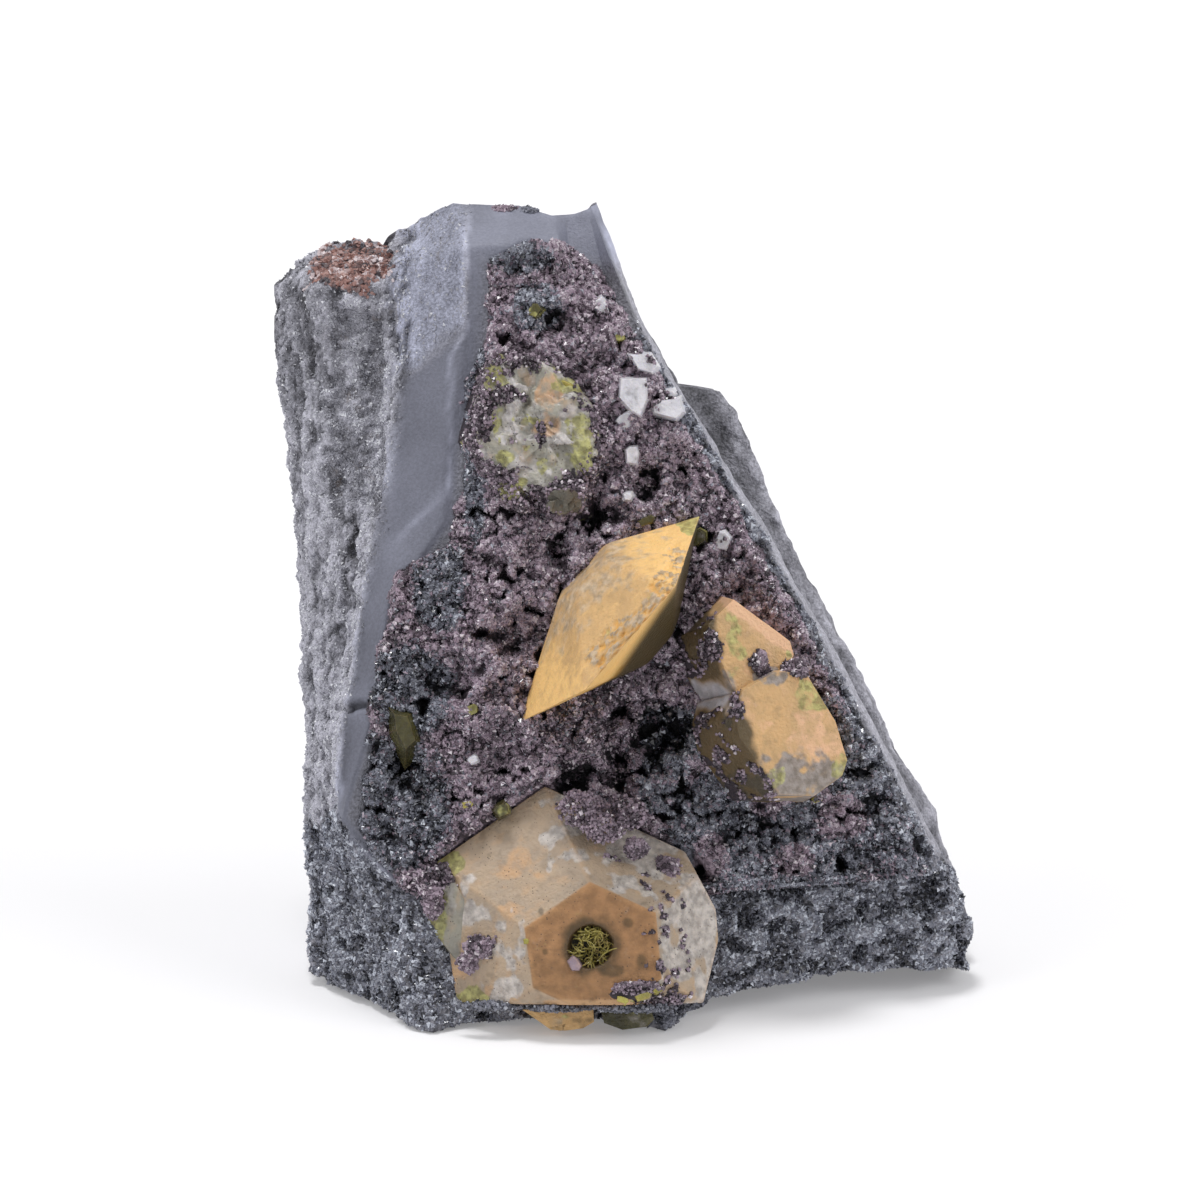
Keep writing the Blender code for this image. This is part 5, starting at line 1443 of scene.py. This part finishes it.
def coated_paint(points, edge):
    """Grey film nearly everywhere, with its green, orange and yellow places and druse on its rim."""
    x, h = points[..., 0], points[..., 1]
    green = ragged_spots(points, [(-9.8, 49.2, 2.2, 1.6), (-2.8, 43.8, 1.1, 3.2), (-4.2, 48.6, 1.6, 1.0),
                                  (-8.2, 43.2, 1.7, 1.2), (-8.0, 40.5, 1.9, 1.5), (-9.2, 45.6, 0.8, 1.4)], 171, 0.9)
    orange = ragged_spots(points, [(-4.9, 45.8, 1.0, 0.9), (-5.3, 47.8, 1.3, 1.7), (-9.0, 49.0, 0.6, 0.5),
                                   (-6.4, 45.4, 2.0, 0.9)], 173, 0.6)
    cell = seeds_near(points * np.array([1.0, 1.0, 0.3]), 2.0, 161)[1]
    haze = np.clip(ease(0.8 * fractal(points, 1.5, 4, 175) + 0.65, 0.15, 0.9) * (0.75 + 0.4 * cell), 0, 1)
    flecks = ease(fractal(points, 1.0, 3, 172), 0.50, 0.75)
    green = np.maximum(green * 0.75, flecks * 0.6)
    orange = np.maximum(orange, ease(fractal(points, 1.1, 3, 174), 0.65, 0.85) * 0.7)
    away = np.hypot((x + 6.3) / 4.0, (h - 45.3) / 4.9)
    druse = ease(away - 0.86 + 0.45 * fractal(points, 1.4, 4, 177), 0.0, 0.25)
    druse = np.maximum(druse, ease(fractal(points, 1.2, 4, 178), 0.66, 0.80)) * (1.0 - green)
    olive = spot(x, h, -4.1, 39.9, 1.7, 1.2)
    dark = ease(fractal(points, 0.8, 4, 179), 0.25, 0.95) * 0.5
    empty = np.zeros_like(x)
    return dict(cap=empty, pit=empty, haze=haze * (1.0 - olive) * (1.0 - 0.5 * orange),
                green=green * (1.0 - olive), orange=orange * 0.55, rim=edge * 0.2,
                stain_and_shade=np.maximum(olive * 0.7, dark), druse=np.clip(druse, 0, 1) * (1.0 - olive))


coated = crystal_finish("coated_crystal", (0.45, 0.425, 0.35), (0.31, 0.30, 0.27), pinhole=0.16, roughness=0.3,
                        haze=((0.36, 0.335, 0.335), (0.74, 0.70, 0.695)), orange=(0.74, 0.43, 0.22))
upper_piece = make_lobed("coated_crystal_faces", UPPER_LOBES, 26, (60, 20, 6), 160.0, coated_relief,
                         coated_paint, coated, ["upper_crystal"])

# %% [markdown]
# Small crystals
#
# Two broken crystals stick out at the foot, one orange-yellow and one dark olive and glassy. A small
# olive blade stands in the druse on the left, and three pale plates with clean flat faces sit by the
# right edge. They are small, so they get fewer rows, but the same loft.

# %% Make the small crystals
FOOT_ORANGE = [dict(outline=[(-7.3, 1.9), (-2.0, 1.9), (-1.9, 1.0), (-2.7, 0.5), (-4.1, 0.3), (-5.4, 0.5),
                             (-6.5, 1.3)],
                    front=-1.0, slopes=(0.0, -0.1), splay=(0.0,) + (-24.0,) * 6, thickness=3.6)]
FOOT_OLIVE = [dict(outline=[(-1.4, 1.85), (2.3, 1.9), (2.6, 1.2), (2.1, 0.6), (0.2, 0.35), (-1.2, 0.9)],
                   front=-0.8, slopes=(0.0, -0.1), splay=(0.0,) + (-24.0,) * 5, thickness=3.4)]
OLIVE_BLADE = [dict(outline=[(-16.9, 24.0), (-15.9, 23.7), (-15.4, 22.0), (-16.0, 21.3), (-16.7, 22.6)],
                    front=-0.5, slopes=(0.3, 0.0), splay=(20.0,) * 5, thickness=2.6)]
PALE_PLATES = {
    "pale_plate_left": dict(outline=[(0.1, 49.1), (1.9, 49.1), (2.0, 47.7), (1.5, 46.4), (0.8, 46.8),
                                     (0.0, 47.7)],
                            front=-0.5, slopes=(0.05, 0.0), splay=(8.0,) * 6, thickness=2.6),
    "pale_plate_right": dict(outline=[(2.5, 47.4), (4.4, 47.6), (4.7, 46.7), (4.2, 46.2), (2.6, 46.6)],
                             front=0.3, slopes=(0.1, 0.1), splay=(8.0,) * 5, thickness=2.6),
    "pale_plate_top": dict(outline=[(0.8, 50.9), (2.2, 50.9), (2.7, 50.1), (2.4, 49.6), (1.4, 49.9)],
                           front=0.1, slopes=(0.1, 0.0), splay=(8.0,) * 5, thickness=2.4),
}


def plain_paint(points, edge):
    """No marks but a green stain here and there."""
    empty = np.zeros(points.shape[:2])
    green = ease(fractal(points, 1.4, 3, 181), 0.1, 0.6) * 0.8
    film = ease(fractal(points, 0.9, 3, 185), 0.0, 0.9) * 0.6
    dark = ease(fractal(points, 1.1, 3, 187), 0.25, 0.9) * 0.6
    return dict(cap=empty, pit=empty, haze=film, green=green, orange=empty, rim=edge * 0.4, stain_and_shade=dark,
                druse=empty)


def olive_paint(points, edge):
    """Dark glassy olive with a few lighter places."""
    marks = plain_paint(points, edge)
    marks["green"] = marks["green"] * 0.35
    marks["haze"] = marks["haze"] * 0.5
    return marks


def pale_paint(points, edge):
    """Clean pale faces with a little grey."""
    empty = np.zeros(points.shape[:2])
    dirt = ease(fractal(points, 0.9, 4, 183), 0.3, 1.0)
    return dict(cap=empty, pit=empty, haze=dirt * 0.5, green=empty, orange=empty, rim=empty,
                stain_and_shade=ease(fractal(points, 0.6, 3, 188), 0.5, 1.1) * 0.35,
                druse=ease(fractal(points, 1.3, 3, 189), 0.35, 0.8))


olive = crystal_finish("olive_crystal", (0.11, 0.10, 0.035), (0.035, 0.033, 0.014), roughness=0.2,
                       orange=(0.14, 0.12, 0.03))
pale = crystal_finish("pale_crystal", (0.82, 0.80, 0.85), (0.66, 0.65, 0.70), roughness=0.3, pinhole=0.07,
                      haze=((0.36, 0.35, 0.37), (0.72, 0.71, 0.75)), orange=(0.76, 0.73, 0.76))
make_lobed("orange_foot", FOOT_ORANGE, 16, (20, 12, 4), 120.0, gentle, plain_paint, ochre,
           ["foot_crystal_orange"])
make_lobed("olive_foot", FOOT_OLIVE, 16, (20, 12, 4), 120.0, gentle, olive_paint, olive,
           ["foot_crystal_olive"])
make_lobed("olive_spike", OLIVE_BLADE, 14, (16, 10, 4), 120.0, gentle, olive_paint, olive,
           ["olive_blade"])
for node_name, lobe in PALE_PLATES.items():
    make_lobed(node_name + "_faces", [lobe], 14, (16, 10, 4), 160.0, gentle, pale_paint, pale,
               [node_name])

# %% [markdown]
# Chips in the druse
#
# Splinters of sturmanite are caught in the druse all over: yellow sticks, olive scraps and a few pale
# bits. Each is a short bevelled bar laid out from its middle, length, width and turn.

# %% Make the chips
YELLOW_CHIPS = [(-8.1, 40.2, 2.1, 0.65, -42.0), (-11.2, 24.3, 1.2, 0.7, 25.0), (0.0, 52.4, 0.7, 0.6, 10.0),
                (-4.1, 48.4, 1.7, 0.9, -28.0), (11.4, 19.3, 1.4, 0.9, -50.0), (-11.4, 17.2, 0.8, 0.5, 0.0),
                (14.9, 17.6, 0.9, 0.5, 20.0), (1.7, 3.0, 1.1, 0.4, 15.0, -3.4), (0.2, 2.7, 0.8, 0.4, -20.0, -3.4),
                (2.8, 3.5, 0.7, 0.4, 40.0, -3.2), (-7.0, 7.1, 0.35, 0.35, 0.0, -3.15)]
OLIVE_CHIPS = [(-6.4, 54.3, 1.0, 0.7, 60.0), (-8.9, 16.8, 1.0, 0.8, 30.0), (-2.4, 16.0, 1.3, 0.8, 70.0),
               (5.8, 37.2, 1.3, 0.8, 30.0), (2.0, 38.5, 1.2, 0.5, 20.0)]
PALE_CHIPS = [(-1.4, 54.6, 1.3, 0.7, -70.0), (0.5, 46.0, 1.4, 1.1, 30.0), (0.9, 43.4, 0.9, 1.2, 0.0),
              (7.7, 37.0, 1.3, 0.9, 70.0), (0.6, 40.3, 0.6, 0.5, 0.0), (-11.0, 20.6, 0.7, 0.5, 30.0),
              (3.7, 48.0, 0.7, 0.5, 0.0)]
CHIP_PROUD = 1.5
CHIP_THICKNESS = 2.2
BAR = np.array([(-0.5, 0.3), (-0.2, 0.5), (0.35, 0.5), (0.5, 0.1), (0.3, -0.5), (-0.4, -0.45)])


def chip(x, h, length, width, turn, front=None):
    """A bevelled bar: its outline scaled, turned by an angle and set on the face, or at a given depth."""
    angle = math.radians(turn)
    along = np.array([math.cos(angle), math.sin(angle)])
    across = np.array([-math.sin(angle), math.cos(angle)])
    outline = np.array([x, h]) + BAR[:, :1] * length * along + BAR[:, 1:] * width * across
    if front is None:
        front = float(front_depth(np.array(x), np.array(h))) - CHIP_PROUD
    return dict(outline=outline, front=front, slopes=(0.25 * math.sin(3.0 * x), 0.25 * math.cos(5.0 * h)),
                splay=(10.0,) * len(BAR), thickness=CHIP_THICKNESS)


yellow = crystal_finish("yellow_chip", (0.52, 0.47, 0.10), (0.30, 0.27, 0.06), roughness=0.25, pinhole=0.05)
make_lobed("yellow_chips", [chip(*place) for place in YELLOW_CHIPS], 6, (6, 6, 3), 90.0, gentle, plain_paint,
           yellow, [])


def side_paint(points, edge):
    """Olive with a yellow outer edge below, druse above."""
    marks = plain_paint(points, edge)
    x, h = points[..., 0], points[..., 1]
    marks["green"] = (1.0 - ease(x + 0.4 * wave(points, 0.8, 184), -13.6, -12.8)) * 0.9
    marks["druse"] = ease(h - 0.7 * (x + 14.0) + 0.9 * fractal(points, 1.1, 3, 186), 9.6, 10.4)
    marks["stain_and_shade"] = np.maximum(marks["stain_and_shade"], 0.2)
    return marks


SIDE_LOBE = [dict(outline=[(-14.4, 12.3), (-13.2, 12.7), (-11.6, 10.0), (-11.2, 5.8), (-12.2, 5.4), (-14.4, 8.2)],
                  front=0.3, slopes=(-0.25, -0.12), splay=(12.0,) * 6, thickness=2.2)]
make_lobed("side_lobe", SIDE_LOBE, 20, (24, 12, 4), 140.0, gentle, side_paint, coated, [])
lilac = crystal_finish("lilac_chip", (0.42, 0.32, 0.37), (0.28, 0.21, 0.25), roughness=0.25, pinhole=0.05)
make_lobed("pit_fragment", [chip(-3.4, 5.4, 1.0, 0.65, -60.0, -3.5)], 6, (6, 6, 3), 90.0, gentle, pale_paint,
           lilac, [])
make_lobed("olive_chips", [chip(*place) for place in OLIVE_CHIPS], 6, (6, 6, 3), 90.0, gentle, plain_paint,
           olive, [])
make_lobed("pale_chips", [chip(*place) for place in PALE_CHIPS], 6, (6, 6, 3), 90.0, gentle, pale_paint,
           pale, [])

# %% [markdown]
# Grains
#
# What makes a druse glitter is thousands of single crystals, each turned its own way. A garnet grain
# is a small skewed cube and a black grain is an octahedron, so each has only a dozen or eight faces.
# The places come from the surfaces already made: points picked in proportion to area, then a random
# turn and size for each. All the grains of a kind are one mesh built from whole arrays.

# %% Grain shapes and how they are scattered
CUBE = np.array([(-1, -1, -1), (1, -1, -1), (1, 1, -1), (-1, 1, -1), (-1, -1, 1), (1, -1, 1), (1, 1, 1),
                 (-1, 1, 1)], dtype=float) * 0.6
CUBE_FACES = np.array([(0, 3, 2, 1), (4, 5, 6, 7), (0, 1, 5, 4), (1, 2, 6, 5), (2, 3, 7, 6), (3, 0, 4, 7)])
OCTAHEDRON = np.array([(1, 0, 0), (-1, 0, 0), (0, 1, 0), (0, -1, 0), (0, 0, 1), (0, 0, -1)], dtype=float)
OCTAHEDRON_FACES = np.array([(0, 2, 4), (2, 1, 4), (1, 3, 4), (3, 0, 4), (2, 0, 5), (1, 2, 5), (3, 1, 5),
                             (0, 3, 5)])
TETRAHEDRON = np.array([(1, 1, 1), (1, -1, -1), (-1, 1, -1), (-1, -1, 1)], dtype=float) * 0.75
TETRAHEDRON_FACES = np.array([(0, 2, 1), (0, 1, 3), (0, 3, 2), (1, 2, 3)])
PIECE_LIMIT = 190000
chance = np.random.default_rng(2024)


def random_turns(count):
    """Random rotations from unit quaternions with normal-distributed parts."""
    q = chance.normal(size=(count, 4))
    w, x, y, z = (q / np.linalg.norm(q, axis=1, keepdims=True)).T
    rows = [1 - 2 * (y * y + z * z), 2 * (x * y - z * w), 2 * (x * z + y * w),
            2 * (x * y + z * w), 1 - 2 * (x * x + z * z), 2 * (y * z - x * w),
            2 * (x * z - y * w), 2 * (y * z + x * w), 1 - 2 * (x * x + y * y)]
    return np.stack(rows, axis=-1).reshape(-1, 3, 3)


def cell_corners(grid):
    """The four corners of each cell of a grid, one after another round it."""
    return grid[:-1, :-1], grid[:-1, 1:], grid[1:, 1:], grid[1:, :-1]


def weighed_area(grid, weight):
    """Each cell's area in square millimetres times its mean weight."""
    a, b, c, d = cell_corners(grid)
    return np.linalg.norm(np.cross(c - a, d - b), axis=-1) * 0.5 * sum(cell_corners(weight)) / 4.0


def pick_places(grid, weight, count, *fields):
    """Random places on a grid in proportion to area times weight, and each field's value there."""
    a, b, c, d = cell_corners(grid)
    share = weighed_area(grid, weight)
    picked = chance.choice(share.size, size=count, p=share.ravel() / share.sum())
    row, column = np.divmod(picked, share.shape[1])
    u, v = chance.random((2, count, 1))
    low = a[row, column] * (1 - u) + b[row, column] * u
    high = d[row, column] * (1 - u) + c[row, column] * u
    return [low * (1 - v) + high * v] + [field[row, column] for field in fields]


def varied(base, spread, bright_share):
    """Tones round a base: a spread either way, and a small share of very bright ones as painted glints."""
    tone = base + spread * chance.uniform(-1.0, 1.0, len(base))
    glint = chance.random(len(base)) < bright_share
    return np.clip(np.where(glint, chance.uniform(0.75, 1.0, len(base)), tone), 0.0, 1.0)


def make_grains(name, places, sizes, shape, faces, tones, finish):
    """Scatter one grain shape over many places, in pieces small enough to keep."""
    world = to_world(places)
    margin = sizes[:, None] * MM * 1.15
    fits = np.all((world - margin > box_low) & (world + margin < box_high), axis=1)
    places, sizes, tones = places[fits], sizes[fits], tones[fits]
    per_piece = PIECE_LIMIT // int((faces.shape[1] - 2) * len(faces))
    pieces = []
    for part, start in enumerate(range(0, len(places), per_piece)):
        chosen = slice(start, start + per_piece)
        count = len(places[chosen])
        skew = 1.0 + 0.25 * chance.uniform(-1, 1, size=(count, 1, 3))
        turned = np.einsum("vk,njk->nvj", shape, random_turns(count)) * skew
        points = places[chosen][:, None, :] + turned * sizes[chosen][:, None, None]
        index = faces[None] + (np.arange(count) * len(shape))[:, None, None]
        masks = {"tone": np.repeat(tones[chosen], len(shape))}
        pieces.append(make_piece(name + "_" + str(part + 1), points.reshape(-1, 3),
                                 [index.reshape(-1, faces.shape[1])], masks, finish, smooth=False))
    return pieces


def grain_finish(name, dark, middle, bright, roughness):
    """Each grain's own tone picks its colour, from dark through middle to bright."""
    finish, tree, shader = new_finish(name, roughness, 0.6)
    tone = mask(tree, "tone")
    colour = mixed(tree, ranged(tree, tone, 0.0, 0.55), solid(dark), solid(middle))
    colour = mixed(tree, ranged(tree, tone, 0.6, 1.0), colour, solid(bright))
    colour = mixed(tree, maths(tree, "MULTIPLY", cloud(tree, 0.3, 2.0), 0.3), colour, solid(dark))
    plug(tree, shader.inputs["Base Color"], colour)
    return finish


# %% Scatter the garnets and the black grains
LARGE_COUNT = 13000
GARNET_COUNT = 78000
BLACK_COUNT = 42000
ORE_GRAIN_COUNT = 38000
PALE_GRAIN_COUNT = 14000
RED_GRAIN_COUNT = 1500
COAT_DENSITY = 34
garnet = grain_finish("garnet_grain", (0.050, 0.037, 0.048), (0.43, 0.335, 0.41), (0.86, 0.79, 0.84), 0.22)
hausmannite = grain_finish("black_grain", (0.016, 0.017, 0.024), (0.26, 0.268, 0.325), (0.74, 0.78, 0.87), 0.18)
grey = grain_finish("grey_grain", (0.10, 0.10, 0.12), (0.36, 0.36, 0.41), (0.78, 0.79, 0.84), 0.28)
rusty = grain_finish("rusty_grain", (0.07, 0.06, 0.07), (0.38, 0.20, 0.17), (0.78, 0.68, 0.70), 0.35)
edge_fade = ease(inside, 0.1, 0.6)
on_top = edge_fade * (1.0 - 0.7 * painted_hollow_shade) * ease(crust_local, -1.4, 0.0) * ease(from_lens, 0.1, 0.8)
places, tone = pick_places(crust_front, (1.0 - 0.9 * crust_black) * on_top, LARGE_COUNT, crust_tone)
make_grains("large_garnets", places, chance.uniform(0.11, 0.24, len(places)), OCTAHEDRON, OCTAHEDRON_FACES,
            varied(0.56 * tone, 0.30, 0.08), garnet)
places, tone = pick_places(crust_front, (1.0 - 0.9 * crust_black) * on_top, GARNET_COUNT, crust_tone)
make_grains("garnets", places, chance.uniform(0.08, 0.19, len(places)), TETRAHEDRON, TETRAHEDRON_FACES,
            varied(0.60 * tone, 0.34, 0.08), garnet)
places, tone = pick_places(crust_front, (0.10 + crust_black) * on_top, BLACK_COUNT, crust_tone)
make_grains("black_grains", places, chance.uniform(0.08, 0.19, len(places)), TETRAHEDRON,
            TETRAHEDRON_FACES, varied(0.60 * tone, 0.32, 0.09), hausmannite)
foot_dark = np.repeat(0.8 * rock_mask["dark"][:1], FOOT_ROWS, axis=0)
ore_weight = np.concatenate([foot_dark, rock_mask["dark"] * (1.0 - under) * above_foot])
ore_tone = np.concatenate([0.0 * foot_dark + 0.4, rock_mask["tone"]])
places, tone = pick_places(sleeve, ore_weight, ORE_GRAIN_COUNT, ore_tone)
make_grains("ore_grains", places, chance.uniform(0.09, 0.20, len(places)), TETRAHEDRON,
            TETRAHEDRON_FACES, varied(0.95 * tone, 0.34, 0.09), hausmannite)
pale_weight = np.clip(0.9 * rock_mask["granular"] + 0.4 * rock_mask["ribbed"] + 0.12 * rock_mask["pale"], 0, 1)
places, tone = pick_places(body, pale_weight * (1.0 - under) * (1.0 - rock_mask["hidden"]), PALE_GRAIN_COUNT,
                           rock_mask["tone"])
make_grains("grey_grains", places, chance.uniform(0.06, 0.14, len(places)), TETRAHEDRON,
            TETRAHEDRON_FACES, varied(1.3 * tone - 0.4, 0.22, 0.05), grey)
places, = pick_places(body, rock_mask["red"], RED_GRAIN_COUNT)
make_grains("rusty_grains", places, chance.uniform(0.12, 0.26, len(places)), CUBE, CUBE_FACES,
            np.clip(0.50 + 0.6 * wave(places, 0.8, 190) + chance.uniform(-0.3, 0.3, len(places)), 0, 1),
            rusty)
coat = []
for grid, weight in druse_ground:
    if weight.max() > 0.5:
        facing = weight * ease(-grid[..., 2] + grid[..., 2].mean(), -2.0, 0.0)
        picked, = pick_places(grid, facing, int(COAT_DENSITY * weighed_area(grid, facing).sum()) + 1)
        coat.append(picked + np.array([0.0, 0.0, -1.0]) * chance.uniform(0.0, 0.22, (len(picked), 1)))
coat = np.concatenate(coat)
make_grains("coat_garnets", coat, chance.uniform(0.09, 0.21, len(coat)), OCTAHEDRON, OCTAHEDRON_FACES,
            varied(0.22 + 0.22 * wave(coat, 0.9, 195), 0.22, 0.06), garnet)

# %% [markdown]
# Heaps on the crystals
#
# Small heaps of druse have grown over the crystals too: over the top of the big lens, on its left and
# foot, and where the two lobes on the right meet. Each heap is a low dome packed with the same grains.

# %% Scatter the heaps
HEAPS = [(-3.0, 17.0, -1.2, 1.8, 1.4, 1.1), (-1.2, 15.6, -1.9, 1.6, 1.2, 1.0), (0.4, 16.6, -1.0, 1.8, 1.3, 1.1),
         (1.2, 14.0, -1.5, 0.9, 0.8, 0.6), (-10.4, 6.6, -0.6, 1.3, 0.9, 0.7), (-11.2, 5.4, 0.2, 1.0, 0.8, 0.7),
         (1.3, 3.6, -3.0, 1.9, 0.5, 0.5), (3.4, 12.3, 0.2, 1.3, 1.1, 0.9), (10.5, 28.0, -2.4, 0.5, 0.8, 0.3),
         (13.2, 27.4, -1.2, 0.8, 0.8, 0.6), (-14.0, 9.9, 0.3, 0.8, 1.3, 0.8),
         (-8.8, 62.0, 6.6, 1.3, 0.6, 0.6)]
BLACK_HEAPS = [(-7.0, 61.9, 6.6, 0.9, 0.5, 0.6), (5.2, 2.6, 0.4, 1.4, 0.8, 0.9), (3.6, 1.6, 0.6, 1.0, 1.1, 0.9), (-9.4, 2.2, -0.9, 2.6, 0.35, 1.0),
               (-4.6, 2.1, -1.6, 2.6, 0.3, 1.0), (1.0, 2.1, -1.6, 3.0, 0.35, 1.0)]
GRAINS_PER_HEAP = 460


def dome_places(heap, count):
    """Places on an oval dome that faces forward: a random direction times the dome's three radii."""
    x, h, d, radius_x, radius_h, radius_d = heap
    direction = chance.normal(size=(count, 3))
    direction /= np.linalg.norm(direction, axis=1, keepdims=True)
    direction[:, 2] = -np.abs(direction[:, 2])
    reach = chance.uniform(0.72, 1.0, size=(count, 1)) * (1.0 + 0.22 * wave(direction * 3.0, 1.0, 191)[:, None])
    return np.array([x, h, d]) + direction * reach * np.array([radius_x, radius_h, radius_d])


for heap_name, heaps, heap_look in (("heaps", HEAPS, garnet), ("black_heaps", BLACK_HEAPS, hausmannite)):
    heap_places = np.concatenate([dome_places(heap, GRAINS_PER_HEAP) for heap in heaps])
    make_grains(heap_name, heap_places, chance.uniform(0.10, 0.22, len(heap_places)), OCTAHEDRON,
                OCTAHEDRON_FACES, varied(0.3 + 0.25 * wave(heap_places, 0.9, 193), 0.2, 0.04),
                heap_look)

# %% [markdown]
# Needles in the pit
#
# The pit in the big lens's cap holds a curly nest of olive-yellow needles. Each needle is a thin tube
# carried along a short arc: a circle of four points moved along the arc, thinner at both ends.

# %% Make the needles
NEEDLE_COUNT = 170
NEEDLE_STEPS = 9
NEEDLE_SIDES = 4


def needle_nest():
    """All the needles at once, as (needle, step, side) arrays of points."""
    t = np.linspace(-1.0, 1.0, NEEDLE_STEPS)[None, :, None]
    spread = CAP_PIT[2] * 0.80 * np.sqrt(chance.random((NEEDLE_COUNT, 1)))
    angle = chance.uniform(0, 2 * np.pi, (NEEDLE_COUNT, 1))
    floor_d = LOWER_CENTRE[2] - LOWER_HALF_THICKNESS + CAP_PIT[3]
    centre = np.concatenate([CAP_PIT[0] + spread * np.cos(angle), CAP_PIT[1] + spread * np.sin(angle),
                             floor_d - chance.uniform(0.2, 1.25, (NEEDLE_COUNT, 1))], axis=1)[:, None, :]
    turns = random_turns(NEEDLE_COUNT)
    along, bend, third = turns[:, None, 0], turns[:, None, 1], turns[:, None, 2]
    along = along * np.array([1.0, 1.0, 0.35])
    half = chance.uniform(0.30, 0.70, (NEEDLE_COUNT, 1, 1))
    path = centre + along * half * t + bend * half * 0.8 * t * t
    side = np.arange(NEEDLE_SIDES) * 2 * np.pi / NEEDLE_SIDES
    thick = chance.uniform(0.035, 0.075, (NEEDLE_COUNT, 1, 1)) * (1.0 - 0.7 * t * t)
    ring = bend[:, :, None, :] * np.cos(side)[None, None, :, None]
    ring = ring + third[:, :, None, :] * np.sin(side)[None, None, :, None]
    return path[:, :, None, :] + ring * thick[..., None]


nest = needle_nest()
needle_faces = []
ends = []
for needle in range(NEEDLE_COUNT):
    first = needle * NEEDLE_STEPS * NEEDLE_SIDES
    needle_faces.append(sleeve_faces(NEEDLE_STEPS, NEEDLE_SIDES, first))
    last = first + (NEEDLE_STEPS - 1) * NEEDLE_SIDES
    ends.append([first + 3, first + 2, first + 1, first])
    ends.append([last, last + 1, last + 2, last + 3])
needle_look = crystal_finish("needle", (0.50, 0.43, 0.12), (0.17, 0.14, 0.03), roughness=0.12, pinhole=0.0)
empty = np.zeros(nest.size // 3)
make_piece("pit_needles", nest.reshape(-1, 3), needle_faces + [np.array(ends)],
           {key: empty for key in lower_masks}, needle_look)

# %% [markdown]
# Floor, light and camera
#
# The specimen stands on white paper in a light tent. Light comes from all round, but less of it from
# the viewer's side, and three broad lamps outside the tent, mostly above, make the faces differ. They
# are far away, so the paper stays evenly white up to the specimen's own faint shadow, and the paper
# glows a little of its own, which lightens that shadow.

# %% Floor and light
FLOOR_SIZE = 3.0
CAMERA_DISTANCE = 0.5
LOOK_AT = (-1.5, 32.55, 0.0)
TENT_FRONT = 0.34
TENT_BACK = 0.58
PAPER_GLOW = 0.20


def make_floor():
    """A large white sheet at the foot that glows a little of its own, which lightens the shadow on it."""
    half = FLOOR_SIZE / 2
    mesh = bpy.data.meshes.new("paper")
    mesh.from_pydata([(-half, -half, 0), (half, -half, 0), (half, half, 0), (-half, half, 0)], [], [(0, 1, 2, 3)])
    finish, tree, shader = new_finish("white_paper", 0.9, 0.1)
    shader.inputs["Base Color"].default_value = (0.72, 0.717, 0.73, 1.0)
    shader.inputs["Emission Color"].default_value = (1.0, 0.99, 1.0, 1.0)
    shader.inputs["Emission Strength"].default_value = PAPER_GLOW
    mesh.materials.append(finish)
    floor = bpy.data.objects.new("paper", mesh)
    bpy.context.scene.collection.objects.link(floor)


def make_lamp(name, towards, strength, width, colour=(1.0, 1.0, 1.0)):
    """A distant lamp in a direction, as wide across the sky as the given angle in degrees."""
    light = bpy.data.lights.new(name, "SUN")
    light.energy = strength
    light.angle = math.radians(width)
    light.color = colour
    lamp = bpy.data.objects.new(name, light)
    away = unit(towards)
    lamp.rotation_euler = (math.acos(away[2]), 0.0, math.atan2(away[0], -away[1]))
    bpy.context.scene.collection.objects.link(lamp)


def make_tent():
    """An even white sky, dimmer from the front, that the camera itself sees as plain white."""
    world = bpy.data.worlds.new("light_tent")
    bpy.context.scene.world = world
    world.use_nodes = True
    tree = world.node_tree
    place = tree.nodes.new("ShaderNodeTexCoord")
    split = tree.nodes.new("ShaderNodeSeparateXYZ")
    tree.links.new(place.outputs["Generated"], split.inputs["Vector"])
    spread = tree.nodes.new("ShaderNodeMapRange")
    tree.links.new(split.outputs["Y"], spread.inputs["Value"])
    spread.inputs["From Min"].default_value = -1.0
    spread.inputs["From Max"].default_value = 1.0
    spread.inputs["To Min"].default_value = TENT_FRONT
    spread.inputs["To Max"].default_value = TENT_BACK
    path = tree.nodes.new("ShaderNodeLightPath")
    seen = tree.nodes.new("ShaderNodeMath")
    seen.operation = "MAXIMUM"
    tree.links.new(path.outputs["Is Camera Ray"], seen.inputs[0])
    tree.links.new(spread.outputs["Result"], seen.inputs[1])
    tree.links.new(seen.outputs[0], tree.nodes["Background"].inputs["Strength"])
    tree.nodes["Background"].inputs["Color"].default_value = (1.0, 1.0, 1.0, 1.0)


make_floor()
make_lamp("top_lamp", (-0.12, 0.05, 1.0), 1.60, 16.0)
make_lamp("left_lamp", (-1.0, -0.35, 0.70), 0.65, 40.0, (0.97, 0.98, 1.0))
make_lamp("right_lamp", (1.0, -0.30, 0.70), 0.85, 40.0)
make_tent()
bpy.context.scene.view_settings.view_transform = "Standard"

# %% Camera
target = to_world(np.array(LOOK_AT))
into_face = np.array([0.0, math.cos(LEAN), -math.sin(LEAN)])
lens = bpy.data.cameras.new("camera")
lens.lens = 200.0
lens.sensor_width = 36.0
lens.clip_start = 0.01
camera = bpy.data.objects.new("camera", lens)
camera.location = target - CAMERA_DISTANCE * into_face
camera.rotation_euler = (math.pi / 2 - LEAN, 0.0, 0.0)
bpy.context.scene.collection.objects.link(camera)
bpy.context.scene.camera = camera
print("the camera stands", CAMERA_DISTANCE, "m in front of the face")
